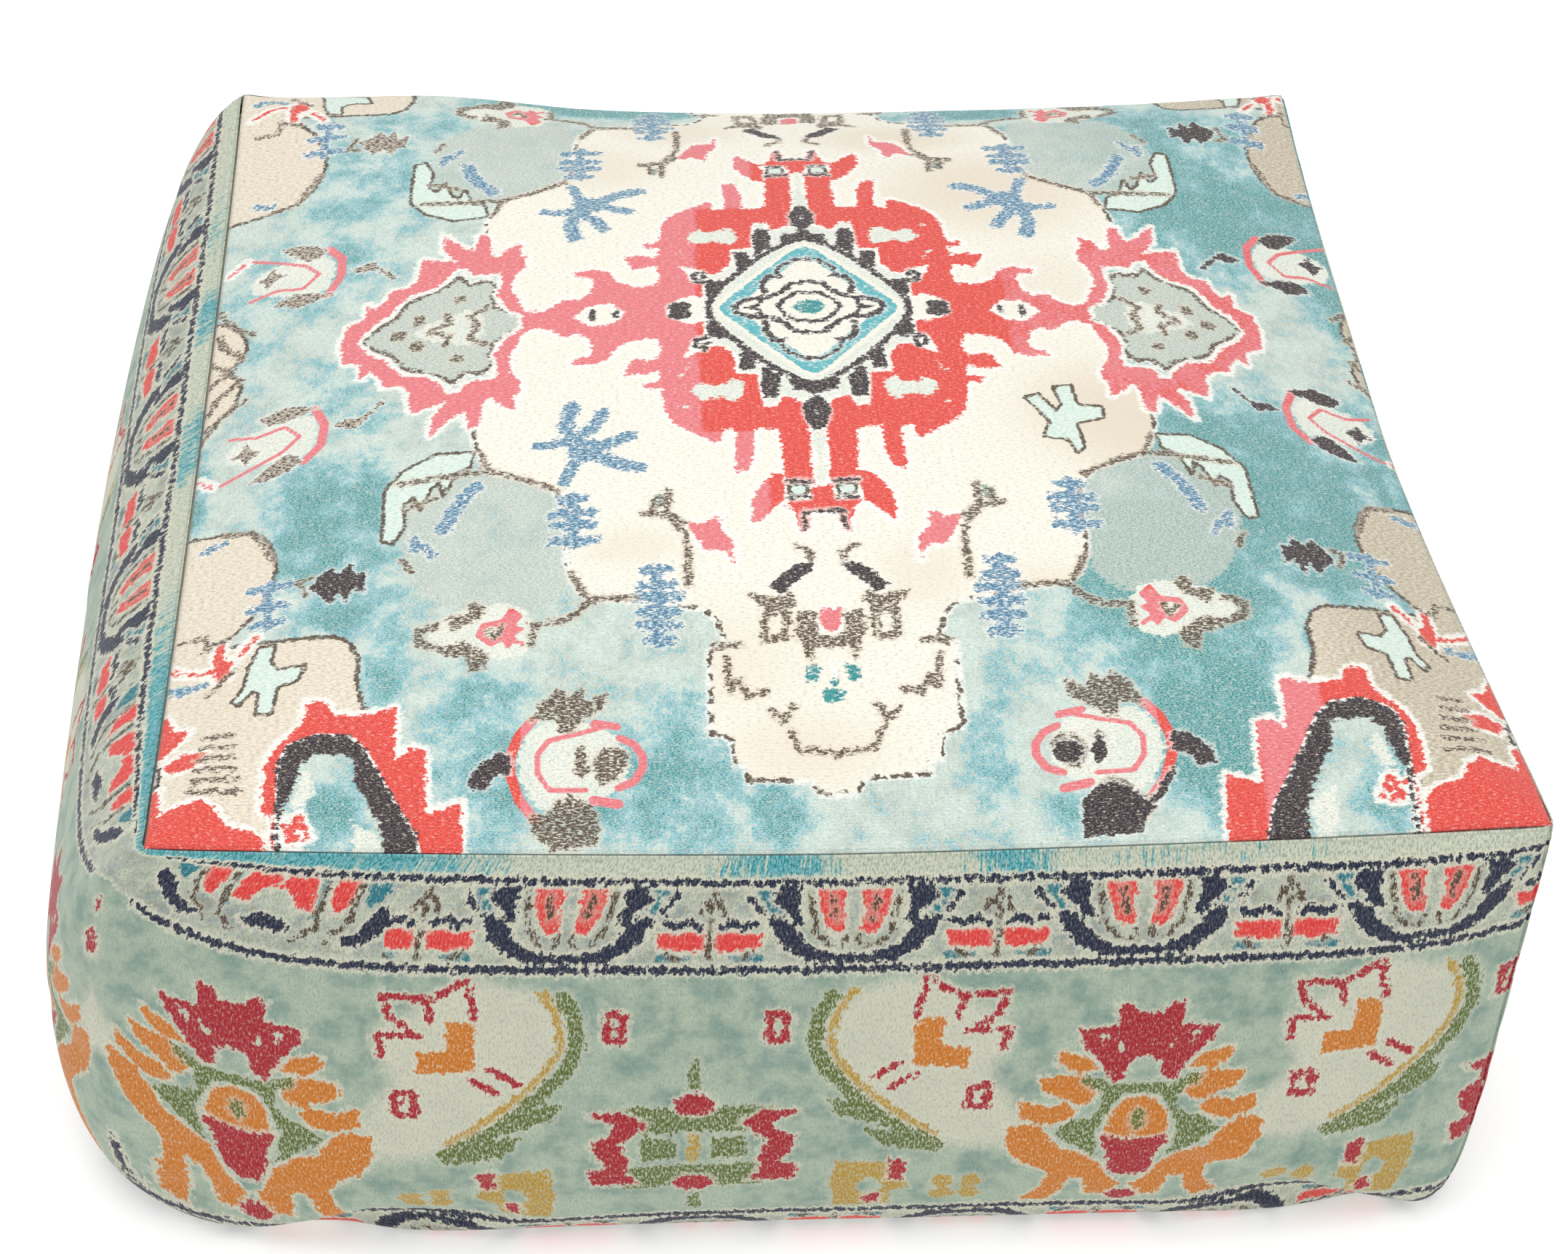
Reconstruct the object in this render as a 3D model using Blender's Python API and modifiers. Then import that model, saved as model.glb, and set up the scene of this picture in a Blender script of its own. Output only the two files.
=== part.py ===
"""A square floor cushion: a sewn cotton cover with a zip low on its back, round a muslin bag of fibre filling.

Metres, +Z up, front towards -Y. The origin is under the middle of the cushion, on the floor.
The cover is two square panels and a deep band. The filling has slumped to the left, so each side bulges by its own amount.
"""

import math

import bmesh
import bpy
from mathutils import Vector

# The sewn cover
TOP_HALF = 0.300            # half the width of the top panel, seam to seam
SEAM_HEIGHT = 0.252         # the top seam at the corners
SEAM_SAG = 0.010            # how far the top seam dips between the corners
CROWN = 0.027               # how far the top panel domes over its seam
BULGE = {"front": 0.022, "right": 0.012, "back": 0.016, "left": 0.062}
SHOULDER = {"front": 0.80, "right": 0.80, "back": 0.80, "left": 1.45}   # how high up a side is full
SEAM_CORNER = 0.006         # plan radius of the top seam's corners
MID_CORNER = (0.020, 0.028, 0.050, 0.075)   # plan radii half way down: front right, back right, back left, front left
CORNER_PULL = 0.012         # the front right corner of the top is pulled out to the right
BOTTOM_SEAM_HEIGHT = 0.0024
FLOOR_PULL = -0.018         # height of the handle that draws a side down to the floor
BOTTOM_SEAM_INSET = 0.012
FLAT_REACH = 0.75           # share of the underside that lies flat on the floor
FLAT_DRAW = 0.04            # how far the flat part's sides draw in between its corners
FLAT_WIDTH = 0.94           # the underside's width as a share of the top's
SIDE_KEEP = 0.80            # share of the bulge left at a corner
CLOTH = 0.0012              # thickness of the cover's canvas
SEAM_GAP = 0.0020           # clear space between two panels that are sewn together

# The layers inside
LINER_SCALE = 0.980
FILLING_SCALE = 0.965
LINER_CLOTH = 0.0008
MIDDLE_HEIGHT = 0.130       # the inner layers shrink towards this height

# The zip
ZIP_HEIGHT = 0.075
ZIP_LENGTH = 0.430          # between the stops
ZIP_GAP = 0.0055            # from the zip's line to the cover's folded edge, above and below
TAPE_WIDTH = 0.0140
TAPE_THICKNESS = 0.0006
COIL_RADIUS = 0.0011
COIL_OFFSET = 0.00175       # from the zip's line to the middle of each coil
STOP_LENGTH = 0.0030
FIT = 0.0003                # the gap between neighbouring solids
SLIDER_LENGTH = 0.012
SLIDER_WIDTH = 0.0084
SLIDER_PLATE = 0.0010
CHANNEL = 0.0026            # between the slider's two plates
BAIL_LENGTH = 0.0080
BAIL_HEIGHT = 0.0026        # clear height under the bail
BAIL_BAR = 0.0010
BAIL_WIDTH = 0.0018
TAB_LENGTH = 0.024
TAB_WIDTH = 0.0064
TAB_THICKNESS = 0.0011
TAB_WINDOW_WIDTH = 0.0030

# How finely the cloth is divided
PANEL_DIVISIONS = 16        # along one side of a panel, and of the band
HEIGHT_STEPS = 9
INNER_DIVISIONS = 10

CORNERS = (0.125, 0.375, 0.625, 0.875)      # the corners' places round the band, from the middle of the front


def smooth(t):
    t = min(max(t, 0.0), 1.0)
    return t * t * (3.0 - 2.0 * t)


def side_profile(v, side, share):
    """(how far out, how high) one side stands at v, from 0 at the top seam to 1 at the bottom seam."""
    bulge = BULGE[side] * share
    shoulder = SHOULDER[side]
    low = 1.80 if shoulder < 1.0 else 1.45
    handles = (
        (0.0, SEAM_HEIGHT),
        (bulge * shoulder, SEAM_HEIGHT * 0.80),
        (bulge * low + 0.004, FLOOR_PULL),
        (bulge * 0.45 - BOTTOM_SEAM_INSET, BOTTOM_SEAM_HEIGHT),
    )
    weights = ((1 - v) ** 3, 3 * (1 - v) ** 2 * v, 3 * (1 - v) * v * v, v ** 3)
    out = sum(w * h[0] for w, h in zip(weights, handles))
    height = sum(w * h[1] for w, h in zip(weights, handles))
    return out, height


def rounded_square(place, radius):
    """A point of the square from -1 to 1 with rounded corners; place runs once round it, from the front's middle."""
    turn = (place % 1.0) * 4.0
    side = int(math.floor(turn + 0.5))
    half = (1.0 - radius) + radius * math.pi / 4.0
    along = (turn - side) * 2.0 * half
    far = abs(along)
    angle = max(far - (1.0 - radius), 0.0) / radius
    a = math.copysign(min(far, 1.0 - radius) + radius * math.sin(angle), along)
    b = 1.0 - radius * (1.0 - math.cos(angle))
    return ((a, -b), (b, a), (-a, b), (-b, -a))[side % 4]


def band_point(place, v):
    """A point of the cover's side, before the whole cushion is centred."""
    corner = int((place % 1.0) * 4.0)
    radius = SEAM_CORNER + (MID_CORNER[corner] - SEAM_CORNER) * smooth(2.0 * v)
    p, q = rounded_square(place, radius / TOP_HALF)
    x_side = "right" if p > 0 else "left"
    y_side = "back" if q > 0 else "front"
    y_power = 10.0 if y_side == "back" else 2.5      # the back is straight where the zip lies
    x_share = 1.0 - (1.0 - SIDE_KEEP) * abs(q) ** 2.5
    y_share = 1.0 - (1.0 - SIDE_KEEP) * abs(p) ** y_power
    x_out, x_height = side_profile(v, x_side, x_share)
    y_out, y_height = side_profile(v, y_side, y_share)
    pull = CORNER_PULL * smooth(p) * smooth(-q) * (1.0 - v)
    sag = SEAM_SAG * (1.0 - min(abs(p * q), 1.0) ** 1.5) * (1.0 - v) ** 1.5
    return Vector((p * (TOP_HALF + x_out) + pull, q * (TOP_HALF + y_out), 0.5 * (x_height + y_height) - sag))


def square_place(p, q):
    """Where the point (p, q) of the square outline lies round the band."""
    reach = max(abs(p), abs(q))
    if -q == reach:
        turn = 0.5 * p / reach
    elif p == reach:
        turn = 1.0 + 0.5 * q / reach
    elif q == reach:
        turn = 2.0 - 0.5 * p / reach
    else:
        turn = 3.0 - 0.5 * q / reach
    return (turn / 4.0) % 1.0


def top_point(p, q):
    """A point of the top panel, for p and q from -1 to 1."""
    reach = max(abs(p), abs(q))
    least = min(abs(p), abs(q))
    share = least / reach if reach > 0 else 0.0
    sag = SEAM_SAG * (1.0 - share ** 1.5) * reach ** 3
    dome = CROWN * (1.0 - p * p) * (1.0 - q * q)
    pull = CORNER_PULL * smooth(p) * smooth(-q)
    return Vector((p * TOP_HALF + pull, q * TOP_HALF, SEAM_HEIGHT - sag + dome))


def base_point(p, q):
    """A point of the underside: flat on the floor over a square with drawn-in sides, then out and up to the seam."""
    reach = max(abs(p), abs(q))
    if reach == 0:
        return Vector((0.0, 0.0, 0.0))
    inner = TOP_HALF * FLAT_WIDTH * min(reach, FLAT_REACH) / reach
    flat_x = p * inner * (1 - FLAT_DRAW * (1 - (q / reach) ** 2))
    flat_y = q * inner * (1 - FLAT_DRAW * (1 - (p / reach) ** 2))
    flat = Vector((flat_x, flat_y, 0.0))
    if reach <= FLAT_REACH:
        return flat
    return flat.lerp(band_point(square_place(p, q), 1.0), (reach - FLAT_REACH) / (1 - FLAT_REACH))


def plan_shift():
    """How far the cover is moved so that its footprint is centred on the origin."""
    ring = [band_point(i / 160, j / 40) for i in range(160) for j in range(41)]
    x_middle = (min(p.x for p in ring) + max(p.x for p in ring)) / 2
    y_middle = (min(p.y for p in ring) + zip_plane() + slider_reach()) / 2
    return Vector((-x_middle, -y_middle, 0.0))


def back_surface(height):
    """The y of the cover's back at a height, in its middle."""
    v = next(i / 400 for i in range(401) if band_point(0.5, i / 400).z < height)
    return band_point(0.5, v).y


def zip_plane():
    """The y of the middle of the zip's tapes, just behind the cover."""
    reach = ZIP_GAP + 0.010
    nearest = min(back_surface(ZIP_HEIGHT + d * reach / 4) for d in range(-4, 5))
    return nearest - CLOTH - FIT - TAPE_THICKNESS / 2


def slider_reach():
    """How far the slider stands out from the middle of the tapes."""
    return CHANNEL / 2 + SLIDER_PLATE + BAIL_HEIGHT + BAIL_BAR


def shrink(point, scale):
    """A point of an inner layer, for the same point of the cover."""
    return Vector((point.x * scale, point.y * scale, MIDDLE_HEIGHT + (point.z - MIDDLE_HEIGHT) * scale))


def make_material(name, colour, roughness, metallic=0.0):
    material = bpy.data.materials.new(name)
    material.use_nodes = True
    shader = material.node_tree.nodes["Principled BSDF"]
    shader.inputs["Base Color"].default_value = (*colour, 1.0)
    shader.inputs["Roughness"].default_value = roughness
    shader.inputs["Metallic"].default_value = metallic
    material.diffuse_color = (*colour, 1.0)
    return material


def add_object(name, mesh, collection, material=None):
    """Puts a mesh in the scene as one named object."""
    mesh.name = name
    thing = bpy.data.objects.new(name, mesh)
    collection.objects.link(thing)
    if material:
        mesh.materials.append(material)
    return thing


def cloth_sheet(name, columns, rows, place, collection, material, thickness):
    """A cloth panel: a grid laid on a surface by place(s, t), with its thickness on the inside.

    s and t run from 0 to 1.
    """
    mesh = bpy.data.meshes.new(name)
    grid = bmesh.new()
    bmesh.ops.create_grid(grid, x_segments=columns, y_segments=rows, size=0.5)
    for vertex in grid.verts:
        vertex.co = place(vertex.co.x + 0.5, vertex.co.y + 0.5)
    grid.to_mesh(mesh)
    grid.free()
    sheet = add_object(name, mesh, collection, material)
    sheet.location = SHIFT
    wall = sheet.modifiers.new("thickness", "SOLIDIFY")
    wall.thickness = thickness
    wall.offset = -1.0
    mesh.shade_smooth()
    mesh.set_sharp_from_angle(angle=math.radians(40))
    return sheet


def side_sheet(name, start, end, v_top, v_bottom, scale, collection, material, thickness):
    """A strip of the band from start to end round it, and from v_top down to v_bottom."""
    columns = round((end - start) * 4 * (PANEL_DIVISIONS if scale == 1.0 else INNER_DIVISIONS))

    def place(s, t):
        v = v_bottom + (v_top - v_bottom) * t
        return shrink(band_point(start + (end - start) * s, v), scale)

    return cloth_sheet(name, columns, HEIGHT_STEPS, place, collection, material, thickness)


def box_mesh(name, size, centre=(0.0, 0.0, 0.0), bevel=0.0):
    """A block with softened edges."""
    mesh = bpy.data.meshes.new(name)
    block = bmesh.new()
    bmesh.ops.create_cube(block, size=1.0)
    for vertex in block.verts:
        vertex.co = Vector(a * b + c for a, b, c in zip(vertex.co, size, centre))
    if bevel:
        bmesh.ops.bevel(block, geom=block.edges[:], offset=bevel, segments=1, affect="EDGES")
    block.to_mesh(mesh)
    block.free()
    return mesh


def combine(thing, cutters, operation, name, size, centre):
    """Joins a block to a solid, or cuts it out of it."""
    tool = add_object(name, box_mesh(name, size, centre), cutters)
    tool.parent = thing
    tool.hide_render = True
    tool.display_type = "WIRE"
    change = thing.modifiers.new(name, "BOOLEAN")
    change.operation = operation
    change.solver = "EXACT"
    change.object = tool


def height_place(height):
    """The v at which the middle of the back is this high."""
    return sum(band_point(0.5, i / 400).z > height for i in range(401)) / 400


def make_cover(collection, print_cloth, plain_cloth):
    """The sewn cover: top and bottom panels, and the band's four strips, two of them above and below the zip."""
    top_share = 1.0 - SEAM_GAP / 4 / TOP_HALF
    base_share = 1.0 - 2 * SEAM_GAP / TOP_HALF
    cloth_sheet("top_panel", PANEL_DIVISIONS, PANEL_DIVISIONS,
                lambda s, t: top_point(top_share * (2 * s - 1), top_share * (2 * t - 1)),
                collection, print_cloth, CLOTH)
    cloth_sheet("bottom_panel", PANEL_DIVISIONS, PANEL_DIVISIONS,
                lambda s, t: base_point(base_share * (1 - 2 * s), base_share * (2 * t - 1)),
                collection, plain_cloth, CLOTH)
    v_top = SEAM_GAP / SEAM_HEIGHT
    strips = (
        ("side_band_front_left", CORNERS[2], CORNERS[0] + 1.0, v_top, 1.0),
        ("side_band_right", CORNERS[0], CORNERS[1], v_top, 1.0),
        ("side_band_back_upper", CORNERS[1], CORNERS[2], v_top, height_place(ZIP_HEIGHT + ZIP_GAP)),
        ("side_band_back_lower", CORNERS[1], CORNERS[2], height_place(ZIP_HEIGHT - ZIP_GAP), 1.0),
    )
    end_gap = SEAM_GAP / 2 / (8 * TOP_HALF)
    for name, start, end, high, low in strips:
        side_sheet(name, start + end_gap, end - end_gap, high, low, 1.0, collection, print_cloth, CLOTH)


def make_liner(collection, muslin):
    """The muslin bag inside the cover: a top, a base and a wall whose ends meet in a seam at the back."""
    share = 1.0 - 2 * SEAM_GAP / TOP_HALF

    def top(s, t):
        return shrink(top_point(share * (2 * s - 1), share * (2 * t - 1)), LINER_SCALE)

    def base(s, t):
        return shrink(base_point(share * (1 - 2 * s), share * (2 * t - 1)), LINER_SCALE)

    cloth_sheet("liner_top", INNER_DIVISIONS, INNER_DIVISIONS, top, collection, muslin, LINER_CLOTH)
    cloth_sheet("liner_base", INNER_DIVISIONS, INNER_DIVISIONS, base, collection, muslin, LINER_CLOTH)
    gap = SEAM_GAP / (8 * TOP_HALF)
    v_top = 2 * SEAM_GAP / SEAM_HEIGHT
    side_sheet("liner_wall", 0.5 + gap, 1.5 - gap, v_top, 1.0, LINER_SCALE, collection, muslin, LINER_CLOTH)


def make_filling(collection, fibre):
    """The fibre filling: a solid cushion form, from a divided cube laid on the cover's own surface."""
    mesh = bpy.data.meshes.new("fibre_filling")
    block = bmesh.new()
    bmesh.ops.create_cube(block, size=2.0)
    bmesh.ops.subdivide_edges(block, edges=block.edges[:], cuts=INNER_DIVISIONS, use_grid_fill=True)
    for vertex in block.verts:
        p, q, r = vertex.co
        if r > 0.999:
            point = top_point(p, q)
        elif r < -0.999:
            point = base_point(p, q)
        else:
            point = band_point(square_place(p, q), (1.0 - r) / 2.0)
        vertex.co = shrink(point, FILLING_SCALE)
    block.to_mesh(mesh)
    block.free()
    filling = add_object("fibre_filling", mesh, collection, fibre)
    filling.location = SHIFT
    mesh.shade_smooth()


def make_zip(collection, cutters, tape_cloth, nylon, metal):
    """The zip in the back: two tapes, two coils, three stops, and the slider with its pull tab."""
    middle = SHIFT.x
    depth = zip_plane() + SHIFT.y
    tape_length = ZIP_LENGTH + 0.030
    tape_inner = COIL_OFFSET + COIL_RADIUS + FIT
    for side, sign in (("upper", 1), ("lower", -1)):
        tape = add_object(f"zip_tape_{side}", box_mesh("tape", (tape_length, TAPE_THICKNESS, TAPE_WIDTH)),
                          collection, tape_cloth)
        tape.location = (middle, depth, ZIP_HEIGHT + sign * (tape_inner + TAPE_WIDTH / 2))
        coil = bpy.data.curves.new(f"zip_coil_{side}", "CURVE")
        coil.dimensions = "3D"
        coil.bevel_depth = COIL_RADIUS
        coil.bevel_resolution = 2
        coil.use_fill_caps = True
        line = coil.splines.new("POLY")
        line.points.add(1)
        line.points[0].co = (-ZIP_LENGTH / 2, 0, 0, 1)
        line.points[1].co = (ZIP_LENGTH / 2, 0, 0, 1)
        row = add_object(f"zip_coil_{side}", coil, collection, nylon)
        row.location = (middle, depth, ZIP_HEIGHT + sign * COIL_OFFSET)
        stop = box_mesh("stop", (STOP_LENGTH, 2 * COIL_RADIUS, 2 * COIL_RADIUS), bevel=0.0003)
        end_stop = add_object(f"zip_top_stop_{side}", stop, collection, metal)
        end_stop.location = (middle + ZIP_LENGTH / 2 + FIT + STOP_LENGTH / 2, depth,
                             ZIP_HEIGHT + sign * COIL_OFFSET)
    bottom = box_mesh("stop", (STOP_LENGTH, 2 * COIL_RADIUS, 2 * (COIL_OFFSET + COIL_RADIUS)), bevel=0.0003)
    bottom_stop = add_object("zip_bottom_stop", bottom, collection, metal)
    bottom_stop.location = (middle - ZIP_LENGTH / 2 - FIT - STOP_LENGTH / 2, depth, ZIP_HEIGHT)
    make_slider(collection, cutters, metal, depth)


def make_slider(collection, cutters, metal, depth):
    """The slider stands closed against the top stops. Its pull tab lies back along the zip."""
    parked = SHIFT.x + ZIP_LENGTH / 2 - SLIDER_LENGTH / 2 - FIT
    plate_y = (CHANNEL + SLIDER_PLATE) / 2
    outer = CHANNEL / 2 + SLIDER_PLATE
    plate = (SLIDER_LENGTH, SLIDER_PLATE, SLIDER_WIDTH)
    slider = add_object("zip_slider", box_mesh("zip_slider", plate, (0, plate_y, 0)), collection, metal)
    slider.location = (parked, depth, ZIP_HEIGHT)
    overlap = 0.0002
    divider = 2 * (COIL_OFFSET - COIL_RADIUS - FIT)
    combine(slider, cutters, "UNION", "slider_divider",
            (0.0025, CHANNEL + 2 * overlap, divider), (SLIDER_LENGTH / 2 - 0.0018, 0, 0))
    combine(slider, cutters, "UNION", "slider_under_plate", plate, (0, -plate_y, 0))
    for name, sign in (("bail_front_post", 1), ("bail_rear_post", -1)):
        combine(slider, cutters, "UNION", name, (BAIL_BAR, BAIL_HEIGHT + 2 * overlap, BAIL_WIDTH),
                (sign * (BAIL_LENGTH - BAIL_BAR) / 2, outer + BAIL_HEIGHT / 2, 0))
    combine(slider, cutters, "UNION", "bail_bar", (BAIL_LENGTH, BAIL_BAR, BAIL_WIDTH),
            (0, outer + BAIL_HEIGHT + BAIL_BAR / 2, 0))

    # The tab's root bar passes under the bail, and its window clears the bail's posts either way round.
    tab_size = (TAB_LENGTH, TAB_THICKNESS, TAB_WIDTH)
    tab_shift = -(TAB_LENGTH - TAB_THICKNESS) / 2
    tab = add_object("zip_pull_tab", box_mesh("zip_pull_tab", tab_size, (tab_shift, 0, 0)), collection, metal)
    tab.location = (parked, depth + outer + BAIL_HEIGHT / 2, ZIP_HEIGHT)
    window_length = BAIL_LENGTH / 2 + 0.0016
    combine(tab, cutters, "DIFFERENCE", "tab_window",
            (window_length, 4 * TAB_THICKNESS, TAB_WINDOW_WIDTH),
            (-(TAB_THICKNESS + window_length) / 2, 0, 0))
    print("zip plane y %.5f, slider x %.5f, tab axis y %.5f" % (depth, parked, tab.location.y))


def main():
    for thing in list(bpy.data.objects):
        bpy.data.objects.remove(thing, do_unlink=True)
    cushion = bpy.data.collections.new("floor_cushion")
    cutters = bpy.data.collections.new("cutters")
    for collection in (cushion, cutters):
        bpy.context.scene.collection.children.link(collection)

    print_cloth = make_material("printed_canvas", (0.62, 0.72, 0.68), 0.85)
    plain_cloth = make_material("plain_canvas", (0.72, 0.66, 0.54), 0.90)
    muslin = make_material("muslin", (0.86, 0.82, 0.73), 0.95)
    fibre = make_material("polyester_fibre", (0.92, 0.92, 0.90), 1.0)
    tape_cloth = make_material("zip_tape", (0.78, 0.74, 0.64), 0.85)
    nylon = make_material("nylon", (0.80, 0.76, 0.66), 0.45)
    metal = make_material("nickel_plate", (0.60, 0.58, 0.55), 0.35, 1.0)

    make_cover(cushion, print_cloth, plain_cloth)
    make_liner(cushion, muslin)
    make_filling(cushion, fibre)
    make_zip(cushion, cutters, tape_cloth, nylon, metal)


SHIFT = plan_shift()
main()
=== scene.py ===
"""A square floor cushion: ribbed canvas printed with a worn rug pattern, a muslin bag of fibre, and a zip.

The cover is six sheets of cloth that meet in turned-in seams. Every sheet is a fine grid, and each ink of its
print is a named attribute of the grid: how far, in millimetres, a point is from the edge of that ink.
"""
import math

import bmesh
import bpy
import numpy as np
from mathutils import Matrix, Vector


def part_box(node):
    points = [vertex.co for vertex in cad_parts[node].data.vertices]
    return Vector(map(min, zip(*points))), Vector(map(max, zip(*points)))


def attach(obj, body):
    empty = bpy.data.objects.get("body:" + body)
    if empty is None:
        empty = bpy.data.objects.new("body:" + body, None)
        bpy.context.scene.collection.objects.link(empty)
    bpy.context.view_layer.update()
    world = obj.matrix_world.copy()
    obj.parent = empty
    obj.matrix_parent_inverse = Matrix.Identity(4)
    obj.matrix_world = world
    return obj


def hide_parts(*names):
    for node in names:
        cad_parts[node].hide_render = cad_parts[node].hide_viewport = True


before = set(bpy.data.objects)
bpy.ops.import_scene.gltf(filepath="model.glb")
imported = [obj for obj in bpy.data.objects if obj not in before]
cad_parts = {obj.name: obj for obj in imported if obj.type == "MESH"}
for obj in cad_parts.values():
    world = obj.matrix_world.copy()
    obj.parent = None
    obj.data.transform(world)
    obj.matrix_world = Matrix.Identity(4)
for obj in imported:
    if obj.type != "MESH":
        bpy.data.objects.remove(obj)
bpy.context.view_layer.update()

MM = 0.001

# The cover's form, as its pattern was cut
SEAM_GAP = 2 * MM
top_low, top_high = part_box("top_panel")
TOP_HALF = (top_high.y - top_low.y) / 2 + SEAM_GAP / 4
SHIFT = np.array([top_low.x + TOP_HALF - SEAM_GAP / 4, (top_low.y + top_high.y) / 2, 0.0])
CROWN = 27 * MM
SEAM_HEIGHT = top_high.z - CROWN
SEAM_SAG = 10 * MM
CORNER_PULL = 12 * MM
SEAM_CORNER = 6 * MM
MID_CORNER = np.array([20, 28, 50, 75]) * MM        # front right, back right, back left, front left
BOTTOM_SEAM_INSET = 12 * MM
SIDE_KEEP = 0.80
# bulge, shoulder, fullness lower down, height of the handle that draws the side under, bottom seam's height
FRONT = (22 * MM, 0.80, 1.80, -45 * MM, 6 * MM)
RIGHT = (12 * MM, 0.80, 1.80, -45 * MM, 6 * MM)
BACK = (16 * MM, 0.80, 1.80, -18 * MM, 2.4 * MM)
LEFT = (62 * MM, 1.45, 1.45, -45 * MM, 6 * MM)

ROLL = 5 * MM            # how far from a seam the cloth starts to turn in
ROLL_DEPTH = 1.0 * MM    # how deep the stitched line lies


def smooth(t):
    t = np.clip(t, 0.0, 1.0)
    return t * t * (3 - 2 * t)


def side_profile(v, side, share):
    """(how far out, how high) a side stands at v, from 0 at the top seam to 1 at the bottom seam."""
    bulge, shoulder, low, pull, hem = side
    bulge = bulge * share
    first, second, third = 3 * (1 - v) ** 2 * v, 3 * (1 - v) * v * v, v ** 3
    out = first * bulge * shoulder + second * (bulge * low + 4 * MM)
    out = out + third * (bulge * 0.45 - BOTTOM_SEAM_INSET)
    height = ((1 - v) ** 3 + 0.80 * first) * SEAM_HEIGHT + second * pull + third * hem
    return out, height


def rounded_square(place, radius):
    """Points of the square from -1 to 1 with rounded corners; place runs round it from the front's middle."""
    turn = (place % 1.0) * 4.0
    side = np.floor(turn + 0.5).astype(int)
    along = (turn - side) * 2.0 * ((1.0 - radius) + radius * math.pi / 4.0)
    far = np.abs(along)
    angle = np.maximum(far - (1.0 - radius), 0.0) / radius
    a = np.sign(along) * (np.minimum(far, 1.0 - radius) + radius * np.sin(angle))
    b = 1.0 - radius * (1.0 - np.cos(angle))
    side = side % 4
    return np.choose(side, [a, b, -a, -b]), np.choose(side, [-b, a, b, -a])


def band_surface(place, v):
    """The outside of the cushion's side, as an array of points."""
    place, v = np.broadcast_arrays(np.asarray(place, float), np.asarray(v, float))
    corner = ((place % 1.0) * 4.0).astype(int) % 4
    radius = SEAM_CORNER + (MID_CORNER[corner] - SEAM_CORNER) * smooth(2.0 * v)
    p, q = rounded_square(place, radius / TOP_HALF)
    y_power = np.where(q > 0, 10.0, 2.5)
    x_share = 1.0 - (1.0 - SIDE_KEEP) * np.abs(q) ** 2.5
    y_share = 1.0 - (1.0 - SIDE_KEEP) * np.abs(p) ** y_power
    right_out, right_high = side_profile(v, RIGHT, x_share)
    left_out, left_high = side_profile(v, LEFT, x_share)
    back_out, back_high = side_profile(v, BACK, y_share)
    front_out, front_high = side_profile(v, FRONT, y_share)
    x_out, x_high = np.where(p > 0, right_out, left_out), np.where(p > 0, right_high, left_high)
    y_out, y_high = np.where(q > 0, back_out, front_out), np.where(q > 0, back_high, front_high)
    ahead = smooth(0.5 - 2.5 * q)                    # 1 towards the front, 0 towards the back
    x_high = x_high * ahead + side_profile(v, BACK, x_share)[1] * (1 - ahead)
    pull = CORNER_PULL * smooth(p) * smooth(-q) * (1.0 - v)
    sag = SEAM_SAG * (1.0 - np.minimum(np.abs(p * q), 1.0) ** 1.5) * (1.0 - v) ** 1.5
    height = np.maximum((x_high + y_high) / 2 - sag, 0.6 * MM)
    return np.stack([p * (TOP_HALF + x_out) + pull, q * (TOP_HALF + y_out), height], -1) + SHIFT


def square_place(p, q):
    """Where the points (p, q) lie round the band, for points whose larger part is their reach."""
    reach = np.maximum(np.maximum(np.abs(p), np.abs(q)), 1e-9)
    turn = np.where(q == reach, 2.0 - 0.5 * p / reach, 3.0 - 0.5 * q / reach)
    turn = np.where(p == reach, 1.0 + 0.5 * q / reach, turn)
    turn = np.where(-q == reach, 0.5 * p / reach, turn)
    return (turn / 4.0) % 1.0


def top_surface(p, q):
    """The outside of the top panel, for p and q from -1 to 1."""
    reach, least = np.maximum(np.abs(p), np.abs(q)), np.minimum(np.abs(p), np.abs(q))
    share = least / np.maximum(reach, 1e-9)
    sag = SEAM_SAG * (1.0 - share ** 1.5) * reach ** 3
    dome = CROWN * (1.0 - p * p) * (1.0 - q * q)
    pull = CORNER_PULL * smooth(p) * smooth(-q)
    return np.stack([p * TOP_HALF + pull, q * TOP_HALF, SEAM_HEIGHT - sag + dome], -1) + SHIFT


def base_surface(p, q):
    """The underside: flat on the floor, and turned up to the bottom seam at its edge."""
    reach = np.maximum(np.abs(p), np.abs(q))
    edge = band_surface(square_place(p, q), 1.0) - SHIFT
    rise = smooth((reach - 0.84) / 0.16)
    return np.stack([edge[..., 0] * reach, edge[..., 1] * reach, edge[..., 2] * rise], -1) + SHIFT


# The inks of the print

REACH = 10.0             # millimetres from an ink's edge that its field tells apart


def rounded(points, times=2):
    """A closed outline with its corners cut, so that few points give a soft shape."""
    points = np.array(points, float)
    for _ in range(times):
        after = np.roll(points, -1, axis=0)
        points = np.stack([0.75 * points + 0.25 * after, 0.25 * points + 0.75 * after], 1).reshape(-1, 2)
    return points


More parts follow.
